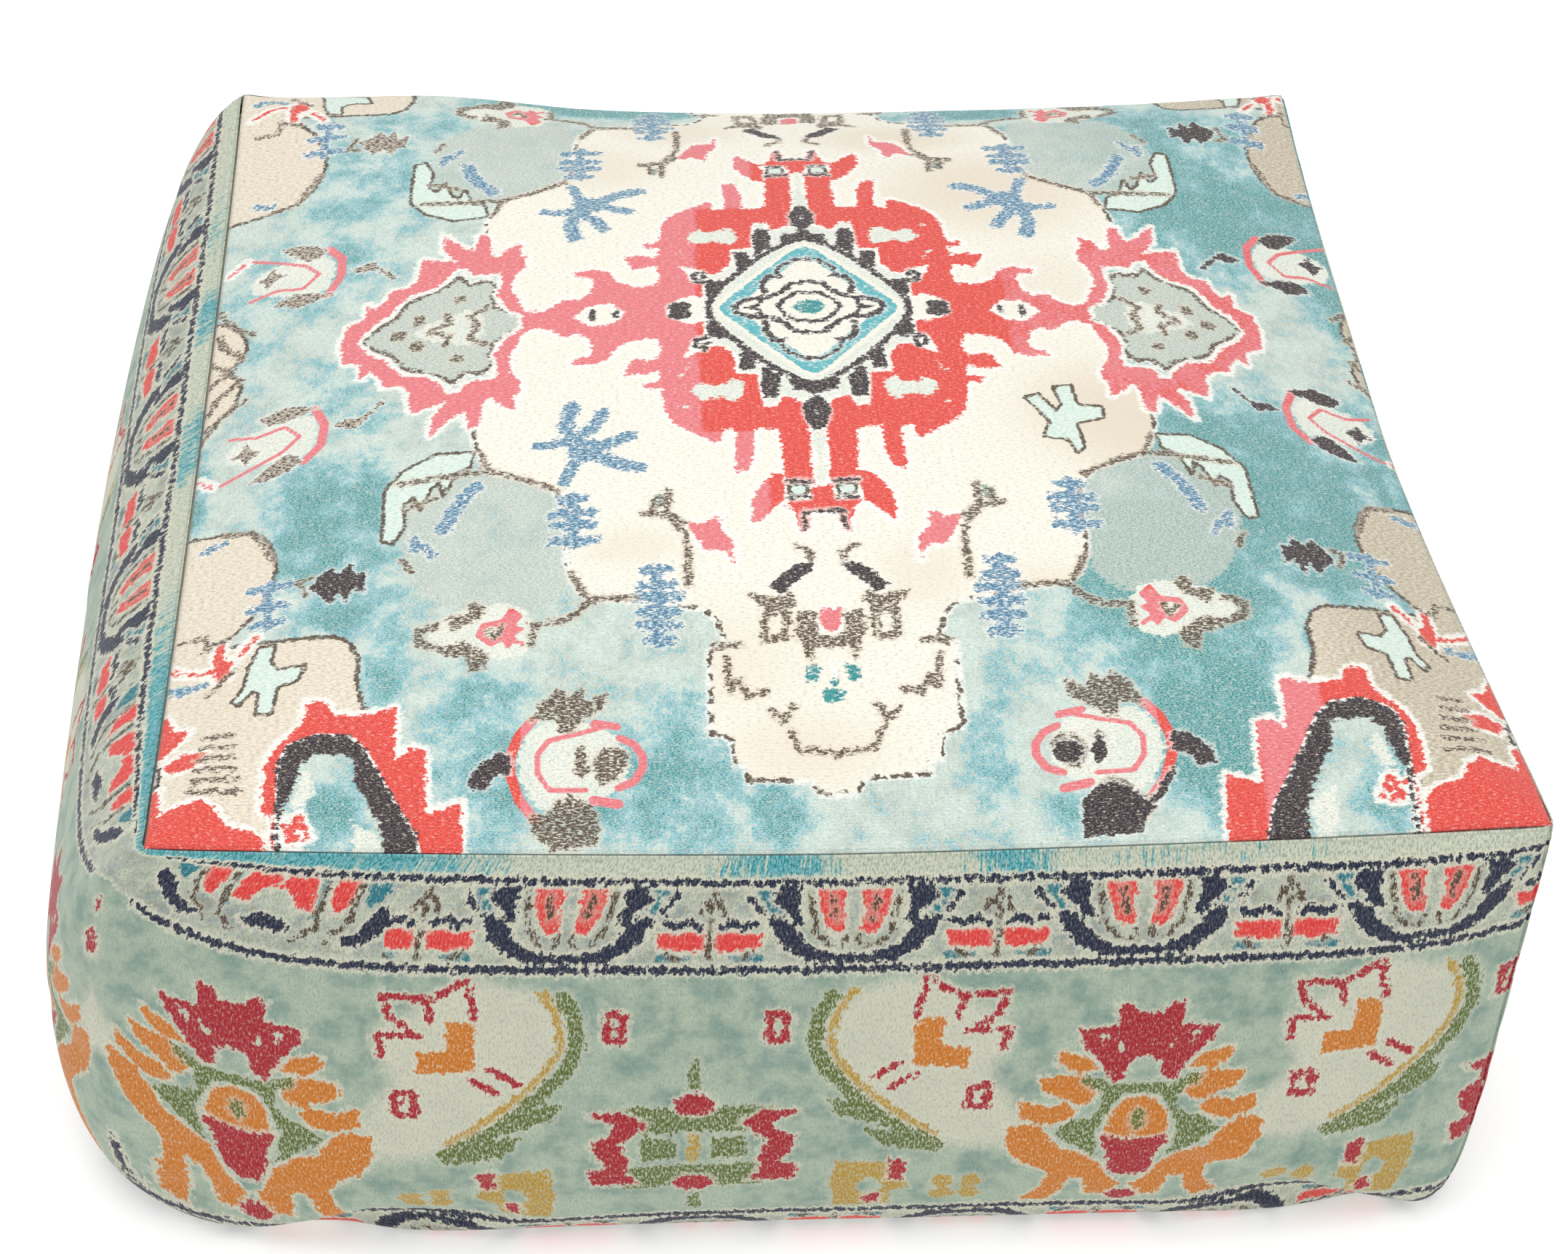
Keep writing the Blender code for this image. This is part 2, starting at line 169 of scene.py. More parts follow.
class Ink:
    """How far each point of a sheet is from an ink's edge, in millimetres: below zero where it is printed."""

    def __init__(self, x, y):
        self.x, self.y = x, y
        self.away = np.full(x.shape, REACH)

    def _near(self, points, width=0.0):
        points = np.asarray(points, float)
        low, high = points.min(0) - REACH - width, points.max(0) + REACH + width
        return (self.x > low[0]) & (self.x < high[0]) & (self.y > low[1]) & (self.y < high[1])

    def _to_line(self, near, points, closed):
        x, y = self.x[near], self.y[near]
        least, inside = np.full(x.shape, 1e9), np.zeros(x.shape, bool)
        ends = np.roll(points, -1, axis=0) if closed else points[1:]
        for (ax, ay), (bx, by) in zip(points, ends):
            ux, uy = bx - ax, by - ay
            t = np.clip(((x - ax) * ux + (y - ay) * uy) / max(ux * ux + uy * uy, 1e-9), 0, 1)
            least = np.minimum(least, (x - ax - t * ux) ** 2 + (y - ay - t * uy) ** 2)
            if closed and ay != by:
                inside ^= ((ay > y) != (by > y)) & (x < ax + (y - ay) * ux / (by - ay))
        least = np.sqrt(least)
        return np.where(inside, -least, least)

    def area(self, *points, soft=0):
        """Prints a closed outline; soft rounds its corners."""
        points = rounded(points, soft) if soft else np.array(points, float)
        near = self._near(points)
        if near.any():
            self.away[near] = np.minimum(self.away[near], self._to_line(near, points, True))
        return self

    def line(self, width, *points):
        """Prints a stroke of that width."""
        points = np.array(points, float)
        near = self._near(points, width)
        if near.any():
            self.away[near] = np.minimum(self.away[near], self._to_line(near, points, False) - width / 2)
        return self

    def oval(self, x, y, wide, high):
        """Prints an oval, by its middle and its half width and half height."""
        turn = np.linspace(0, 2 * math.pi, 16, endpoint=False)
        return self.area(*np.stack([x + wide * np.cos(turn), y + high * np.sin(turn)], 1))

    def cut(self, *points, soft=0):
        """Leaves a closed outline unprinted."""
        points = rounded(points, soft) if soft else np.array(points, float)
        near = self._near(points)
        if near.any():
            self.away[near] = np.maximum(self.away[near], -self._to_line(near, points, True))
        return self

    def cut_oval(self, x, y, wide, high):
        turn = np.linspace(0, 2 * math.pi, 16, endpoint=False)
        return self.cut(*np.stack([x + wide * np.cos(turn), y + high * np.sin(turn)], 1))

    def ring(self, width, *points, soft=0):
        """Prints a closed line."""
        points = rounded(points, soft) if soft else np.array(points, float)
        return self.line(width, *points, points[0])


def blots(x, y, spots):
    """The strength of a dye in soft patches, each given by its middle, its reach both ways and its strength."""
    strength = np.zeros(x.shape)
    for middle_x, middle_y, wide, high, most in spots:
        far = ((x - middle_x) / wide) ** 2 + ((y - middle_y) / high) ** 2
        strength = np.maximum(strength, most * np.exp(-0.7 * far ** 1.6))
    return strength


PRINT_MIDDLE = np.array([5.8, 51.6])      # millimetres from the top panel's middle to the medallion's


def top_print(x, y):
    """The inks of the top panel: a medallion, two pendants, four spandrels and a ground of scattered flowers.

    The motifs are drawn once, for one quarter, and repeated in the other three.
    """
    x, y = x - PRINT_MIDDLE[0], y - PRINT_MIDDLE[1]
    across, along = x - 0.02 * y, y - 0.026 * x       # the print lies a little askew on the cloth
    a, b = np.abs(across) + 0.02 * np.abs(along), np.abs(along) + 0.026 * np.abs(across)
    left = across < 0
    front_right = ~left & (along < 0)
    names = ("cream_field", "pale_lobe", "tan_ground", "coral", "cream_fill", "white_figure", "dark_figure",
             "brown_speckle", "blue_thread", "diamond", "pendant", "arch_ring", "arch_inside",
                 "teal_figure",
             "flower_ring")
    inks = {name: Ink(a, b) for name in names}
    grounds(inks)
    medallion_cross(inks["coral"])
    pendant_ring(inks["coral"])
    corner_arch(inks["coral"])
    small_coral(inks["coral"], inks["flower_ring"])
    openings(inks["cream_fill"])
    leaves_in_outline(inks["white_figure"], front_right)
    medallion_frame(inks["dark_figure"])
    dark_flowers(inks["dark_figure"], left)
    brown_leaves(inks["brown_speckle"])
    stems(inks["brown_speckle"])
    blue_sprigs(inks["blue_thread"], front_right)
    teal = inks["teal_figure"]
    teal.oval(0, 263, 7, 6).oval(7, 270, 4, 4).oval(0, 276, 4, 5).area((10, 253), (12, 262), (18, 262),
        (17, 254))
    teal.area((-4, -8), (-4, 6), (5, 6), (9, 0), (5, -6)).oval(81, 150, 3, 5).oval(300, 248, 6, 3)
    fields = {name: ink.away for name, ink in inks.items()}
    fields["rose"] = rose_share(a, b, left)
    fields["ground_teal"] = ground_teal(x, y)
    # the tan darkens towards the right edge of the top: painted shade
    fields["right_painted_shade"] = smooth((x - 170) / 70)
    fields["worn_left"] = smooth((-190 - x) / 30) * smooth((y + 150) / 60)
    fields["warm_shade"] = blots(x, y, (
        (150, -85, 45, 40, 1.0), (100, -215, 35, 18, 0.6), (-70, -250, 50, 30, 0.45),
            (-95, -180, 22, 12, 0.5),
        (105, 120, 50, 40, 0.9), (70, 110, 30, 25, 0.7), (-110, 150, 35, 25, 0.6), (-20, -300, 35, 20, 0.5),
        (130, 30, 30, 30, 0.4), (40, -200, 20, 20, 0.5), (60, 190, 40, 20, 0.8), (-60, 200, 30, 20, 0.6)))
    return fields


def grounds(inks):
    """The large plain areas: the medallion's cream, the pale lobes, the corners' tan, the insides of rings."""
    cream = inks["cream_field"]
    cream.area((-20, -20), (-20, 322), (14, 322), (18, 315), (46, 315), (46, 308), (51, 307), (52, 294),
        (61, 291),
               (60, 246), (52, 243), (56, 228), (64, 218), (72, 216), (94, 214))
    cream.area((-20, 222), (60, 222), (95, 214), (112, 213), (120, 206), (124, 190), (124, 150), (130, 136),
               (146, 127), (161, 120), (165, 108), (169, 92), (166, 70), (157, 56), (160, -20), (-20, -20),
                   soft=2)
    inks["pale_lobe"].area((124, 190), (123, 150), (132, 134), (160, 121), (190, 121), (204, 138),
        (202, 165),
                           (195, 190), (184, 214), (152, 226), (126, 212), soft=2)
    tan = inks["tan_ground"]
    tan.area((206, 284), (214, 276), (218, 262), (218, 245), (222, 234), (229, 229), (240, 228), (262, 226),
             (330, 222), (330, 366), (252, 366), (252, 300), (236, 284), (212, 286))
    tan.area((330, 136), (300, 139), (284, 140), (271, 143), (262, 158), (259, 178), (264, 196), (272, 212),
             (288, 226), (330, 232), soft=1)
    tan.area((330, 2), (298, 6), (286, 20), (292, 42), (308, 54), (330, 60), soft=1)
    inks["diamond"].area((-62, -20), (-62, 20), (0, 62), (9, 56), (30, 29), (46, 8), (49, 0), (46, -8),
        (30, -29))
    inks["pendant"].area((144, -20), (144, 8), (152, 15), (160, 20), (161, 30), (159, 38), (166, 44),
        (174, 42),
                         (180, 50), (186, 43), (196, 38), (205, 33), (210, 22), (220, 14), (226, 7),
                             (230, 0),
                         (226, -20))
    ring = inks["arch_ring"]
    ring.area((184, 366), (190, 342), (198, 328), (207, 310), (213, 298), (220, 291), (234, 290),
        (246, 296),
              (250, 306), (250, 366))
    inside = ((203, 366), (204, 346), (207, 336), (214, 322), (217, 316), (219, 303), (224, 301),
        (235, 302),
              (240, 307), (243, 322), (248, 332), (248, 366))
    ring.cut(*inside)
    inks["arch_inside"].area(*inside)


def medallion_cross(ink):
    """The red cross round the diamond: a trunk, a hooked body and an arm to the pendant."""
    ink.area((6, 142), (7, 132), (6, 84), (12, 78), (18, 76), (21, 84), (28, 84), (29, 58), (40, 57),
        (40, 42),
             (47, 33), (53, 34), (58, 39), (66, 43), (60, 28), (54, 25), (54, 12), (60, 14), (66, 12),
                 (72, 6),
             (72, -20), (92, -20), (94, 4), (101, 12), (112, 12), (119, 4), (120, -20), (148, -20),
                 (142, 12),
             (136, 10), (130, 14), (124, 20), (118, 18), (112, 22), (110, 32), (112, 38), (119, 39),
                 (121, 43),
             (110, 44), (103, 41), (98, 31), (90, 26), (78, 25), (76, 36), (79, 44), (90, 42), (95, 54),
                 (86, 55),
             (78, 52), (77, 61), (86, 63), (84, 67), (77, 66), (76, 84), (73, 92), (66, 100), (58, 105),
                 (52, 110),
             (49, 108), (49, 100), (42, 101), (43, 118), (44, 132), (38, 131), (34, 120), (33, 100),
                 (21, 101),
             (20, 141))
    ink.area((-8, 150), (-8, 161), (10, 161), (11, 173), (15, 174), (17, 160), (22, 152), (20, 133),
        (26, 134),
             (32, 142), (37, 152), (37, 168), (32, 164), (27, 157), (20, 152), (10, 152), (6, 142))


def pendant_ring(ink):
    """The ragged ring round a pendant."""
    ink.area((138, -20), (138, 10), (145, 14), (148, 24), (152, 33), (151, 45), (146, 54), (146, 62),
        (149, 64),
             (149, 76), (156, 71), (160, 64), (164, 66), (166, 86), (171, 87), (173, 72), (180, 78),
                 (190, 90),
             (189, 76), (182, 64), (200, 70), (201, 52), (206, 46), (214, 46), (216, 38), (221, 32),
                 (226, 37),
             (226, 25), (235, 21), (238, 0), (237, -20))
    ink.cut((145, -20), (145, 10), (153, 16), (159, 30), (157, 42), (158, 50), (172, 50), (177, 58),
        (182, 58),
            (187, 48), (193, 42), (204, 40), (210, 32), (214, 24), (222, 18), (228, 8), (231, 0),
                (229, -20))


def corner_arch(ink):
    """The spandrel's red arch, which runs on along both edges of the panel."""
    ink.area((170, 366), (171, 326), (186, 332), (187, 299), (193, 298), (200, 305), (200, 276), (215, 280),
             (227, 279), (231, 271), (239, 270), (240, 284), (250, 296), (255, 306), (256, 332), (251, 334),
             (251, 366))
    ink.cut((185, 366), (190, 343), (198, 328), (207, 310), (213, 298), (220, 291), (234, 290), (246, 296),
            (250, 306), (250, 366))
    ink.area((254, 366), (254, 346), (262, 341), (270, 340), (276, 330), (282, 326), (292, 329), (300, 332),
             (301, 316), (306, 312), (308, 296), (301, 292), (294, 284), (291, 279), (299, 276), (303, 266),
             (312, 264), (330, 262), (330, 366))
    ink.area((281, 296), (285, 304), (297, 306), (302, 300), (292, 294))
    ink.line(3.0, (236, 344), (240, 334), (244, 346)).line(2.6, (240, 346), (247, 338))


def small_coral(ink, ring):
    """Leaves and flowers in red, scattered over the ground, and the rings of the palmettes."""
    ink.area((47, 195), (50, 185), (60, 184), (69, 164), (60, 167), (53, 161), (52, 172), (47, 180))
    ink.area((-8, 222), (-8, 236), (4, 236), (10, 231), (9, 222)).area((-4, 249), (-4, 259), (4, 259),
        (4, 251))
    ring.area((144, 242), (148, 238), (152, 244), (153, 237), (159, 241), (166, 234), (163, 226),
        (154, 224),
              (150, 216), (144, 222), (148, 228), (143, 230), (149, 235), (143, 239))
    ring.cut_oval(158, 232, 3.5, 4)
    ring.line(4.6, (139, 335), (146, 325), (150, 312), (150, 303), (146, 292), (140, 284))
    ring.line(2.6, (117, 320), (133, 320), (138, 312), (138, 302), (133, 295), (118, 291), (106, 287))
    ring.line(3.8, (103, 319), (96, 316), (92, 309), (92, 303), (96, 297), (102, 294))
    ring.line(4.6, (103, 327), (114, 325)).line(4.0, (103, 288), (113, 286))
    ring.line(4.6, (251, 95), (243, 84), (242, 68), (248, 53))
    ring.line(2.4, (292, 100), (276, 92), (262, 84), (254, 74), (262, 64), (276, 68), (290, 64))
    ink.area((275, 246), (281, 249), (284, 238), (284, 221), (280, 220), (280, 232), (275, 236))
    ink.line(2.4, (265, 221), (272, 231)).line(2.4, (284, 241), (296, 238), (306, 232))
    ink.line(2.4, (296, 100), (304, 92))


def openings(ink):
    """Cream let into the red and inside the flowers."""
    ink.area((-20, -20), (-20, 82), (6, 80), (12, 77), (18, 75), (22, 83), (27, 83), (28, 58), (39, 56),
        (39, 41),
             (46, 33), (53, 33), (54, 25), (53, 0), (53, -20))
    ink.area((-8, 97), (-8, 143), (4, 143), (6, 134), (4, 124), (7, 110), (5, 98))
    ink.area((34, 61), (33, 70), (36, 80), (44, 83), (50, 77), (56, 83), (62, 77), (66, 70), (62, 62),
        (54, 60),
             (50, 64), (43, 58), soft=1)
    ink.area((62, 76), (63, 92), (67, 93), (67, 86), (73, 80), (71, 75), (67, 79), soft=1)
    ink.area((61, 42), (61, 54), (65, 60), (72, 60), (70, 54), (66, 50), (66, 43), soft=1)
    ink.area((100, 296), (96, 306), (100, 318), (114, 330), (134, 333), (146, 320), (148, 302), (140, 286),
             (124, 284), (108, 288), soft=1)
    ink.area((246, 60), (244, 80), (252, 93), (275, 92), (292, 84), (290, 68), (272, 60), (256, 57), soft=1)
    ink.area((140, 216), (138, 246), (160, 250), (182, 244), (190, 232), (180, 220), (160, 212), soft=1)
    ink.area((166, -20), (162, 8), (170, 22), (184, 16), (196, 12), (206, 0), (200, -20), soft=1)
    ink.area((218, 334), (204, 344), (206, 366), (216, 366)).area((238, 306), (232, 318), (238, 330),
        (246, 334))


def leaves_in_outline(ink, front_right):
    """Pale leaves with a dark outline: in each corner, by each lobe, and a branch at the front right."""
    ink.area((241, 246), (244, 256), (253, 259), (254, 276), (261, 276), (261, 261), (264, 259), (270, 268),
             (273, 264), (268, 256), (267, 243), (263, 229), (256, 229), (257, 241), (253, 247))
    ink.area((168, 105), (186, 104), (201, 113), (210, 126), (210, 163), (205, 166), (200, 154), (201, 138),
             (196, 133), (193, 143), (188, 128), (184, 124), (182, 135), (177, 119), (170, 116))
    ink.area((10, 142), (19, 142), (18, 149), (11, 149))
    branch = Ink(np.where(front_right, ink.x, 1e4), ink.y)
    branch.area((127, 122), (124, 112), (112, 110), (116, 98), (105, 79), (112, 76), (120, 90), (123, 85),
        (120, 70),
                (129, 68), (131, 84), (143, 85), (143, 94), (129, 99), (131, 118))
    ink.away = np.minimum(ink.away, branch.away)


def medallion_frame(ink):
    """The dark spiked frame round the diamond, the figure inside it and the dark marks near it."""
    ink.line(3.4, (-4, 67), (4, 66), (12, 60), (24, 49), (34, 36), (44, 22), (51, 8), (51, -8))
    ink.area((18, 60), (20, 76), (27, 77), (28, 66), (26, 50)).area((29, 44), (31, 54), (38, 54), (37, 42),
        (36, 36))
    ink.area((-4, 66), (-4, 73), (4, 74), (8, 70), (12, 72), (14, 62), (6, 62))
    ink.area((42, 24), (46, 28), (53, 24), (52, 10)).line(2.4, (50, 26), (58, 27), (59, 33), (55, 36),
        (53, 31))
    ink.area((-4, 76), (4, 76), (8, 84), (8, 93), (4, 102), (-4, 102)).cut_oval(0, 89, 2.6, 7)
    ink.line(2.2, (8, 139.5), (20, 139)).line(2.0, (10, 150.5), (19, 151)).line(2.2, (13, 172), (12, 160),
        (0, 160))
    ink.oval(66, 5, 6, 4).oval(98, 3, 1.6, 3.4).oval(110, 4, 1.8, 4.4)
    ink.line(2.2, (-4, 45), (6, 45), (14, 38), (17, 30)).line(3.0, (14, 29), (20, 29), (23, 23), (23, 14))
    ink.line(3.0, (-4, 24), (8, 22), (14, 14), (22, 9), (30, 9), (37, 5), (38, 0), (36, -6))
    ink.line(2.6, (-4, 13), (6, 13), (13, 7), (16, 0), (13, -7)).line(2.2, (24, 8), (26, 2), (33, 0))


def dark_flowers(ink, left):
    """The dark wings of the vase, the spiky flowers and the palmettes' dark leaves."""
    ink.area((11, 194), (19, 195), (27, 203), (32, 209), (26, 213), (20, 206), (12, 199))
    ink.area((217, 184), (217, 200), (222, 194), (225, 205), (229, 196), (232, 205), (237, 197),
        (243, 192), (238, 184),
             (233, 178), (229, 184), (224, 177), (222, 186))
    ink.area((150, 302), (150, 311), (157, 313), (161, 320), (168, 319), (166, 310), (160, 305), (156, 301))
    ink.area((272, 80), (278, 83), (280, 89), (283, 82), (289, 82), (284, 77), (281, 71), (278, 77))
    ink.line(2.4, (214, 58), (218, 63), (224, 70)).area((221, 68), (226, 75), (232, 73), (238, 71),
        (231, 67))
    ink.area((252, 94), (258, 100), (268, 104), (277, 104), (270, 96), (262, 88), (256, 88))
    ink.area((244, 53), (250, 52), (262, 48), (276, 54), (270, 60), (262, 60), (252, 56))
    dark_side = Ink(np.where(left, 1e4, ink.x), ink.y)
    dark_side.area((110, 352), (110, 336), (115, 328), (124, 325), (132, 330), (138, 338), (134, 352))
    dark_side.oval(106, 308, 6, 6).oval(119, 308, 3, 7).line(3.0, (136, 342), (144, 332), (149, 322))
    ink.away = np.minimum(ink.away, dark_side.away)
    ink.line(2.0, (312, 344), (310, 318), (303, 312), (303, 300), (309, 293), (310, 266))


def brown_leaves(ink):
    """Leaves in broken brown thread."""
    ink.area((112, 346), (112, 335), (115, 328), (124, 323), (130, 326), (134, 333), (142, 333),
        (140, 342), (132, 349))
    ink.area((107, 269), (109, 278), (120, 285), (122, 290), (128, 290), (130, 282), (141, 285), (135, 273),
             (128, 266), (124, 272), (119, 266), (116, 275))
    ink.area((98, 304), (104, 315), (110, 317), (114, 308), (110, 300), (102, 299)).oval(119, 306, 2.6, 8)
    ink.area((160, 246), (162, 254), (168, 256), (169, 247), (179, 245), (180, 240), (170, 238))
    ink.area((161, 216), (168, 211), (169, 221), (178, 221), (176, 230), (170, 226), (164, 222))
    ink.line(3.6, (182, 241), (190, 238), (191, 230), (183, 226)).line(2.0, (154, 229), (157, 235),
        (161, 231))
    ink.line(3.4, (70, 166), (76, 160), (88, 158)).line(3.0, (77, 160), (76, 144)).line(2.6, (84, 158),
        (82, 148))
    ink.area((22, 211), (28, 216), (42, 212), (36, 219), (24, 223), (20, 217)).ring(3.0, (24, 224),
        (34, 223),
                                                                                (35, 239), (26, 238))
    ink.area((11, 224), (19, 223), (20, 236), (15, 252), (13, 243), (-8, 243), (-8, 238), (12, 237))
    ink.line(2.4, (12, 194), (11, 187), (18, 183)).line(3.0, (288, 16), (300, 30), (303, 40))
    ink.line(2.4, (284, 34), (296, 44), (306, 62)).line(2.4, (292, 8), (304, 16), (310, 26))
    ink.line(2.6, (164, 20), (172, 14), (168, 6), (174, 0)).line(2.6, (184, 18), (182, 10), (192, 6),
        (190, -4))
    ink.oval(198, 16, 3, 4).oval(178, 30, 3, 3).oval(208, 6, 4, 3)
    for row in range(6):
        ink.line(2.2, (266 + row, 322 - 7 * row), (288 - row, 321 - 7 * row))


def stems(ink):
    """Thin dotted stems and the scalloped line inside the shield."""
    ink.line(3.0, (69, 206), (68, 184)).line(2.2, (68, 184), (69, 174), (76, 162))
    ink.line(2.6, (94, 213), (112, 213), (120, 222), (128, 227), (141, 228)).line(2.4, (116, 211),
        (122, 196))
    ink.line(2.4, (-8, 308), (2, 306), (10, 301), (23, 300), (26, 290)).line(2.4, (24, 276), (29, 285),
        (34, 279))
    ink.line(2.6, (36, 268), (44, 271), (48, 262), (52, 268), (53, 250)).line(2.2, (46, 242), (58, 242))
    ink.line(2.4, (140, 228), (140, 240)).line(2.6, (128, 138), (146, 127), (161, 120), (182, 121),
        (204, 123))
    ink.line(2.0, (161, 120), (165, 106)).line(2.0, (186, 136), (200, 142)).line(2.2, (196, 188),
        (200, 178))
    ink.line(2.2, (285, 256), (280, 250), (274, 242)).line(2.2, (278, 218), (288, 222), (290, 213),
        (302, 214))
    ink.line(2.0, (262, 166), (272, 143), (286, 141)).line(2.0, (244, 196), (248, 186), (242, 184))


def blue_sprigs(ink, front_right):
    """Leaves and small barred blocks in blue thread."""
    leaf = Ink(np.where(front_right, 1e4, ink.x), ink.y)
    leaf.line(7.0, (89, 125), (97, 123), (106, 117), (114, 113)).line(6.0, (93, 102), (102, 106),
        (112, 112))
    leaf.line(6.0, (106, 84), (110, 92), (117, 101)).line(7.0, (121, 77), (124, 90), (121, 104))
    leaf.oval(114, 111, 9, 8).line(5.0, (118, 107), (128, 104), (138, 105)).line(5.0, (119, 116),
        (125, 133))
    ink.away = np.minimum(ink.away, leaf.away)
    for height, reach in ((145, 5), (155, 9), (163, 9), (174, 9)):
        ink.line(5.0, (121 - reach, height), (121 + reach, height))
    for height, reach in ((196, 5), (206, 7), (213, 10), (222, 8), (230, 8), (239, 5)):
        ink.line(4.6, (83 - reach, height), (83 + reach, height))
    for height, reach in ((186, 9), (200, 8), (212, 6)):
        ink.line(4.6, (261 - reach, height), (261 + reach, height + 1))
    ink.line(4.6, (121, 143), (121, 178)).line(4.6, (83, 195), (83, 241)).line(3.0, (262, 184), (260, 216))
    ink.line(6.0, (166, 130), (173, 138), (179, 150), (182, 160)).line(4.0, (194, 172), (195, 164))
    ink.line(3.4, (288, 248), (298, 250), (306, 246)).line(3.4, (286, 146), (296, 150)).line(3.0,
        (186, 178), (190, 170))


def rose_share(a, b, left):
    """Where the red is washed out to rose: the outer parts of the medallion, more on the left."""
    share = smooth((a - np.where(left, 58, 100)) / 12 + 0.5) * smooth((150 - b) / 20) * np.where(left, 1.0,
        0.6)
    share = np.maximum(share, np.where(left, 0.9,
        0.3) * smooth((b - 98) / 8) * smooth((a - 24) / 8) * (b < 185))
    share = np.maximum(share, smooth((a - 42) / 10) * smooth((b - 150) / 20) * (b < 250) * (a < 120))
    share = np.maximum(share, 0.9 * smooth((b - 215) / 8) * (b < 262) * (a < 180))
    share = np.maximum(share, 0.9 * (a > 85) * (a < 145) * (b > 262))
    return np.maximum(share, np.where(left, 0.1,
        0.75) * smooth((a - 182) / 8) * smooth((222 - a) / 10) * (b > 255))


def ground_teal(x, y):
    """How strong the teal dye is over the top's ground, from 0 to 1."""
    spots = (
        (205, -112, 66, 52, 1.0), (250, -160, 46, 44, 0.95), (152, -165, 28, 30, 0.7),
            (288, -100, 20, 60, 0.8),
        (158, -305, 20, 44, 0.75), (178, -250, 18, 36, 0.6), (232, -190, 30, 20, 0.8),
            (62, -305, 10, 32, 0.5),
        (196, -190, 40, 14, 0.7), (212, -240, 9, 16, 0.8), (98, -250, 30, 24, 0.25),
            (100, -335, 20, 12, 0.5),
        (228, 112, 62, 52, 0.95), (196, 192, 48, 48, 0.7), (288, 95, 18, 80, 0.9), (105, 238, 40, 14, 0.95),
        (150, 186, 26, 26, 0.4), (250, 190, 14, 26, 0.5), (226, -334, 14, 16, 0.7),
        (-245, -136, 24, 38, 0.85), (-218, -130, 10, 36, 0.8), (-306, -112, 8, 44, 0.6),
            (-226, -208, 22, 20, 0.75),
        (-80, -320, 34, 30, 0.66), (-70, -290, 24, 24, 0.6), (-162, -300, 24, 48, 0.6),
            (-206, -250, 10, 36, 0.6),
        (-32, -332, 16, 14, 0.8), (-150, -160, 24, 20, 0.3), (-240, -40, 22, 24, 0.35),
            (-222, -72, 12, 12, 0.5),
        (-250, 62, 40, 36, 0.45), (-225, 140, 44, 50, 0.4), (-108, 240, 60, 13, 0.95),
            (-200, 205, 40, 20, 0.35),
        (-290, 20, 18, 50, 0.35), (-226, -334, 14, 18, 0.75), (150, -205, 46, 60, 1.15),
            (160, -290, 30, 46, 1.15), (196, -150, 40, 40, 1.1),
        (120, -150, 24, 18, 0.5), (-236, -170, 30, 30, 0.7), (-110, -318, 30, 26, 0.6),
    )
    return blots(x, y, spots)


BAND_DEPTH = 264.0       # millimetres from the top seam to the bottom seam, on the front
TILE = 128.0             # one repeat of the border
HEART = 5.0              # where a heart of the border stands, from the front's middle
FLOWER = 141.0           # where a flower of the field stands
FIELD_TILE = 407.0
DOUBLE_HEART = -256.0    # where the wide heart by the front left corner stands
FRONT_LEFT, FRONT_RIGHT = -332.0, 312.0      # the front's ends round the band


def fold(s, middle, tile):
    """The distance to the nearest repeat of a mirrored tile's middle."""
    return np.abs((s - middle + tile / 2) % tile - tile / 2)


def band_print(s, depth):
    """The inks of the band: a plain stripe, a border of hearts, a field of flowers, and the border again."""
    around = np.where(s > FRONT_RIGHT, 2 * FRONT_RIGHT - s, s)
    around = np.where(s < FRONT_LEFT, 2 * FRONT_LEFT - s, around)
    drawn_up = 45 * np.exp(-np.abs(s - FRONT_LEFT) / 45) + 8 * np.exp(-np.abs(s - FRONT_RIGHT) / 40)
    deep = depth + drawn_up * (1 - np.exp(-depth / 12)) * smooth((230 - depth) / 60)
    lower = deep > 142
    border_deep = np.where(lower, 284 - deep, deep)
    border_s = fold(around, np.where(lower, HEART + TILE / 2, HEART), TILE)
    corner = (around < DOUBLE_HEART + 53) & (around > DOUBLE_HEART - 80) & ~lower
    border_s = np.where(corner, 200 + np.abs(around - DOUBLE_HEART), border_s)

    names = ("navy", "red", "teal_patch", "brown_dots")
    inks = {name: Ink(border_s, border_deep) for name in names}
    border_of_hearts(inks)
    a = fold(around, FLOWER, FIELD_TILE)
    for name in ("crimson", "orange", "green", "gold", "cream_shape"):
        inks[name] = Ink(a, deep)
    flower_crown(inks["crimson"])
    small_crimson(inks["crimson"])
    flower_leaves(inks["orange"])
    green_work(inks["green"])
    gold = inks["gold"]
    gold.area((109, 184), (138, 181), (140, 199), (137, 218), (112, 217), (112, 206), (104, 203),
        (106, 196))
    gold.cut_oval(122, 201, 6, 7)
    gold.oval(74, 199, 5, 5).oval(87, 199, 5, 5).oval(74, 209, 5, 4.5).oval(87, 209, 5, 4.5)
    gold.line(4.0, (203.5, 160), (203.5, 176))
    gold.line(4.0, (135, 74), (141, 84), (144, 96), (143, 108), (136, 121), (124, 136), (110, 150),
        (94, 163))
    inks["cream_shape"].area((60, 100), (84, 84), (100, 66), (136, 76), (144, 100), (134, 124), (114, 148),
                             (88, 168), (60, 172), (56, 150), (76, 124), soft=2)
    fields = {name: ink.away for name, ink in inks.items()}
    fields["print_depth"] = deep
    fields["stripe_teal"] = blots(around, 0 * depth, ((-262, 0, 95, 30, 1.0), (-32, 0, 30, 30, 0.8),
                                                      (75, 0, 22, 30, 0.9), (160, 0, 40, 30, 0.5)))
    return fields


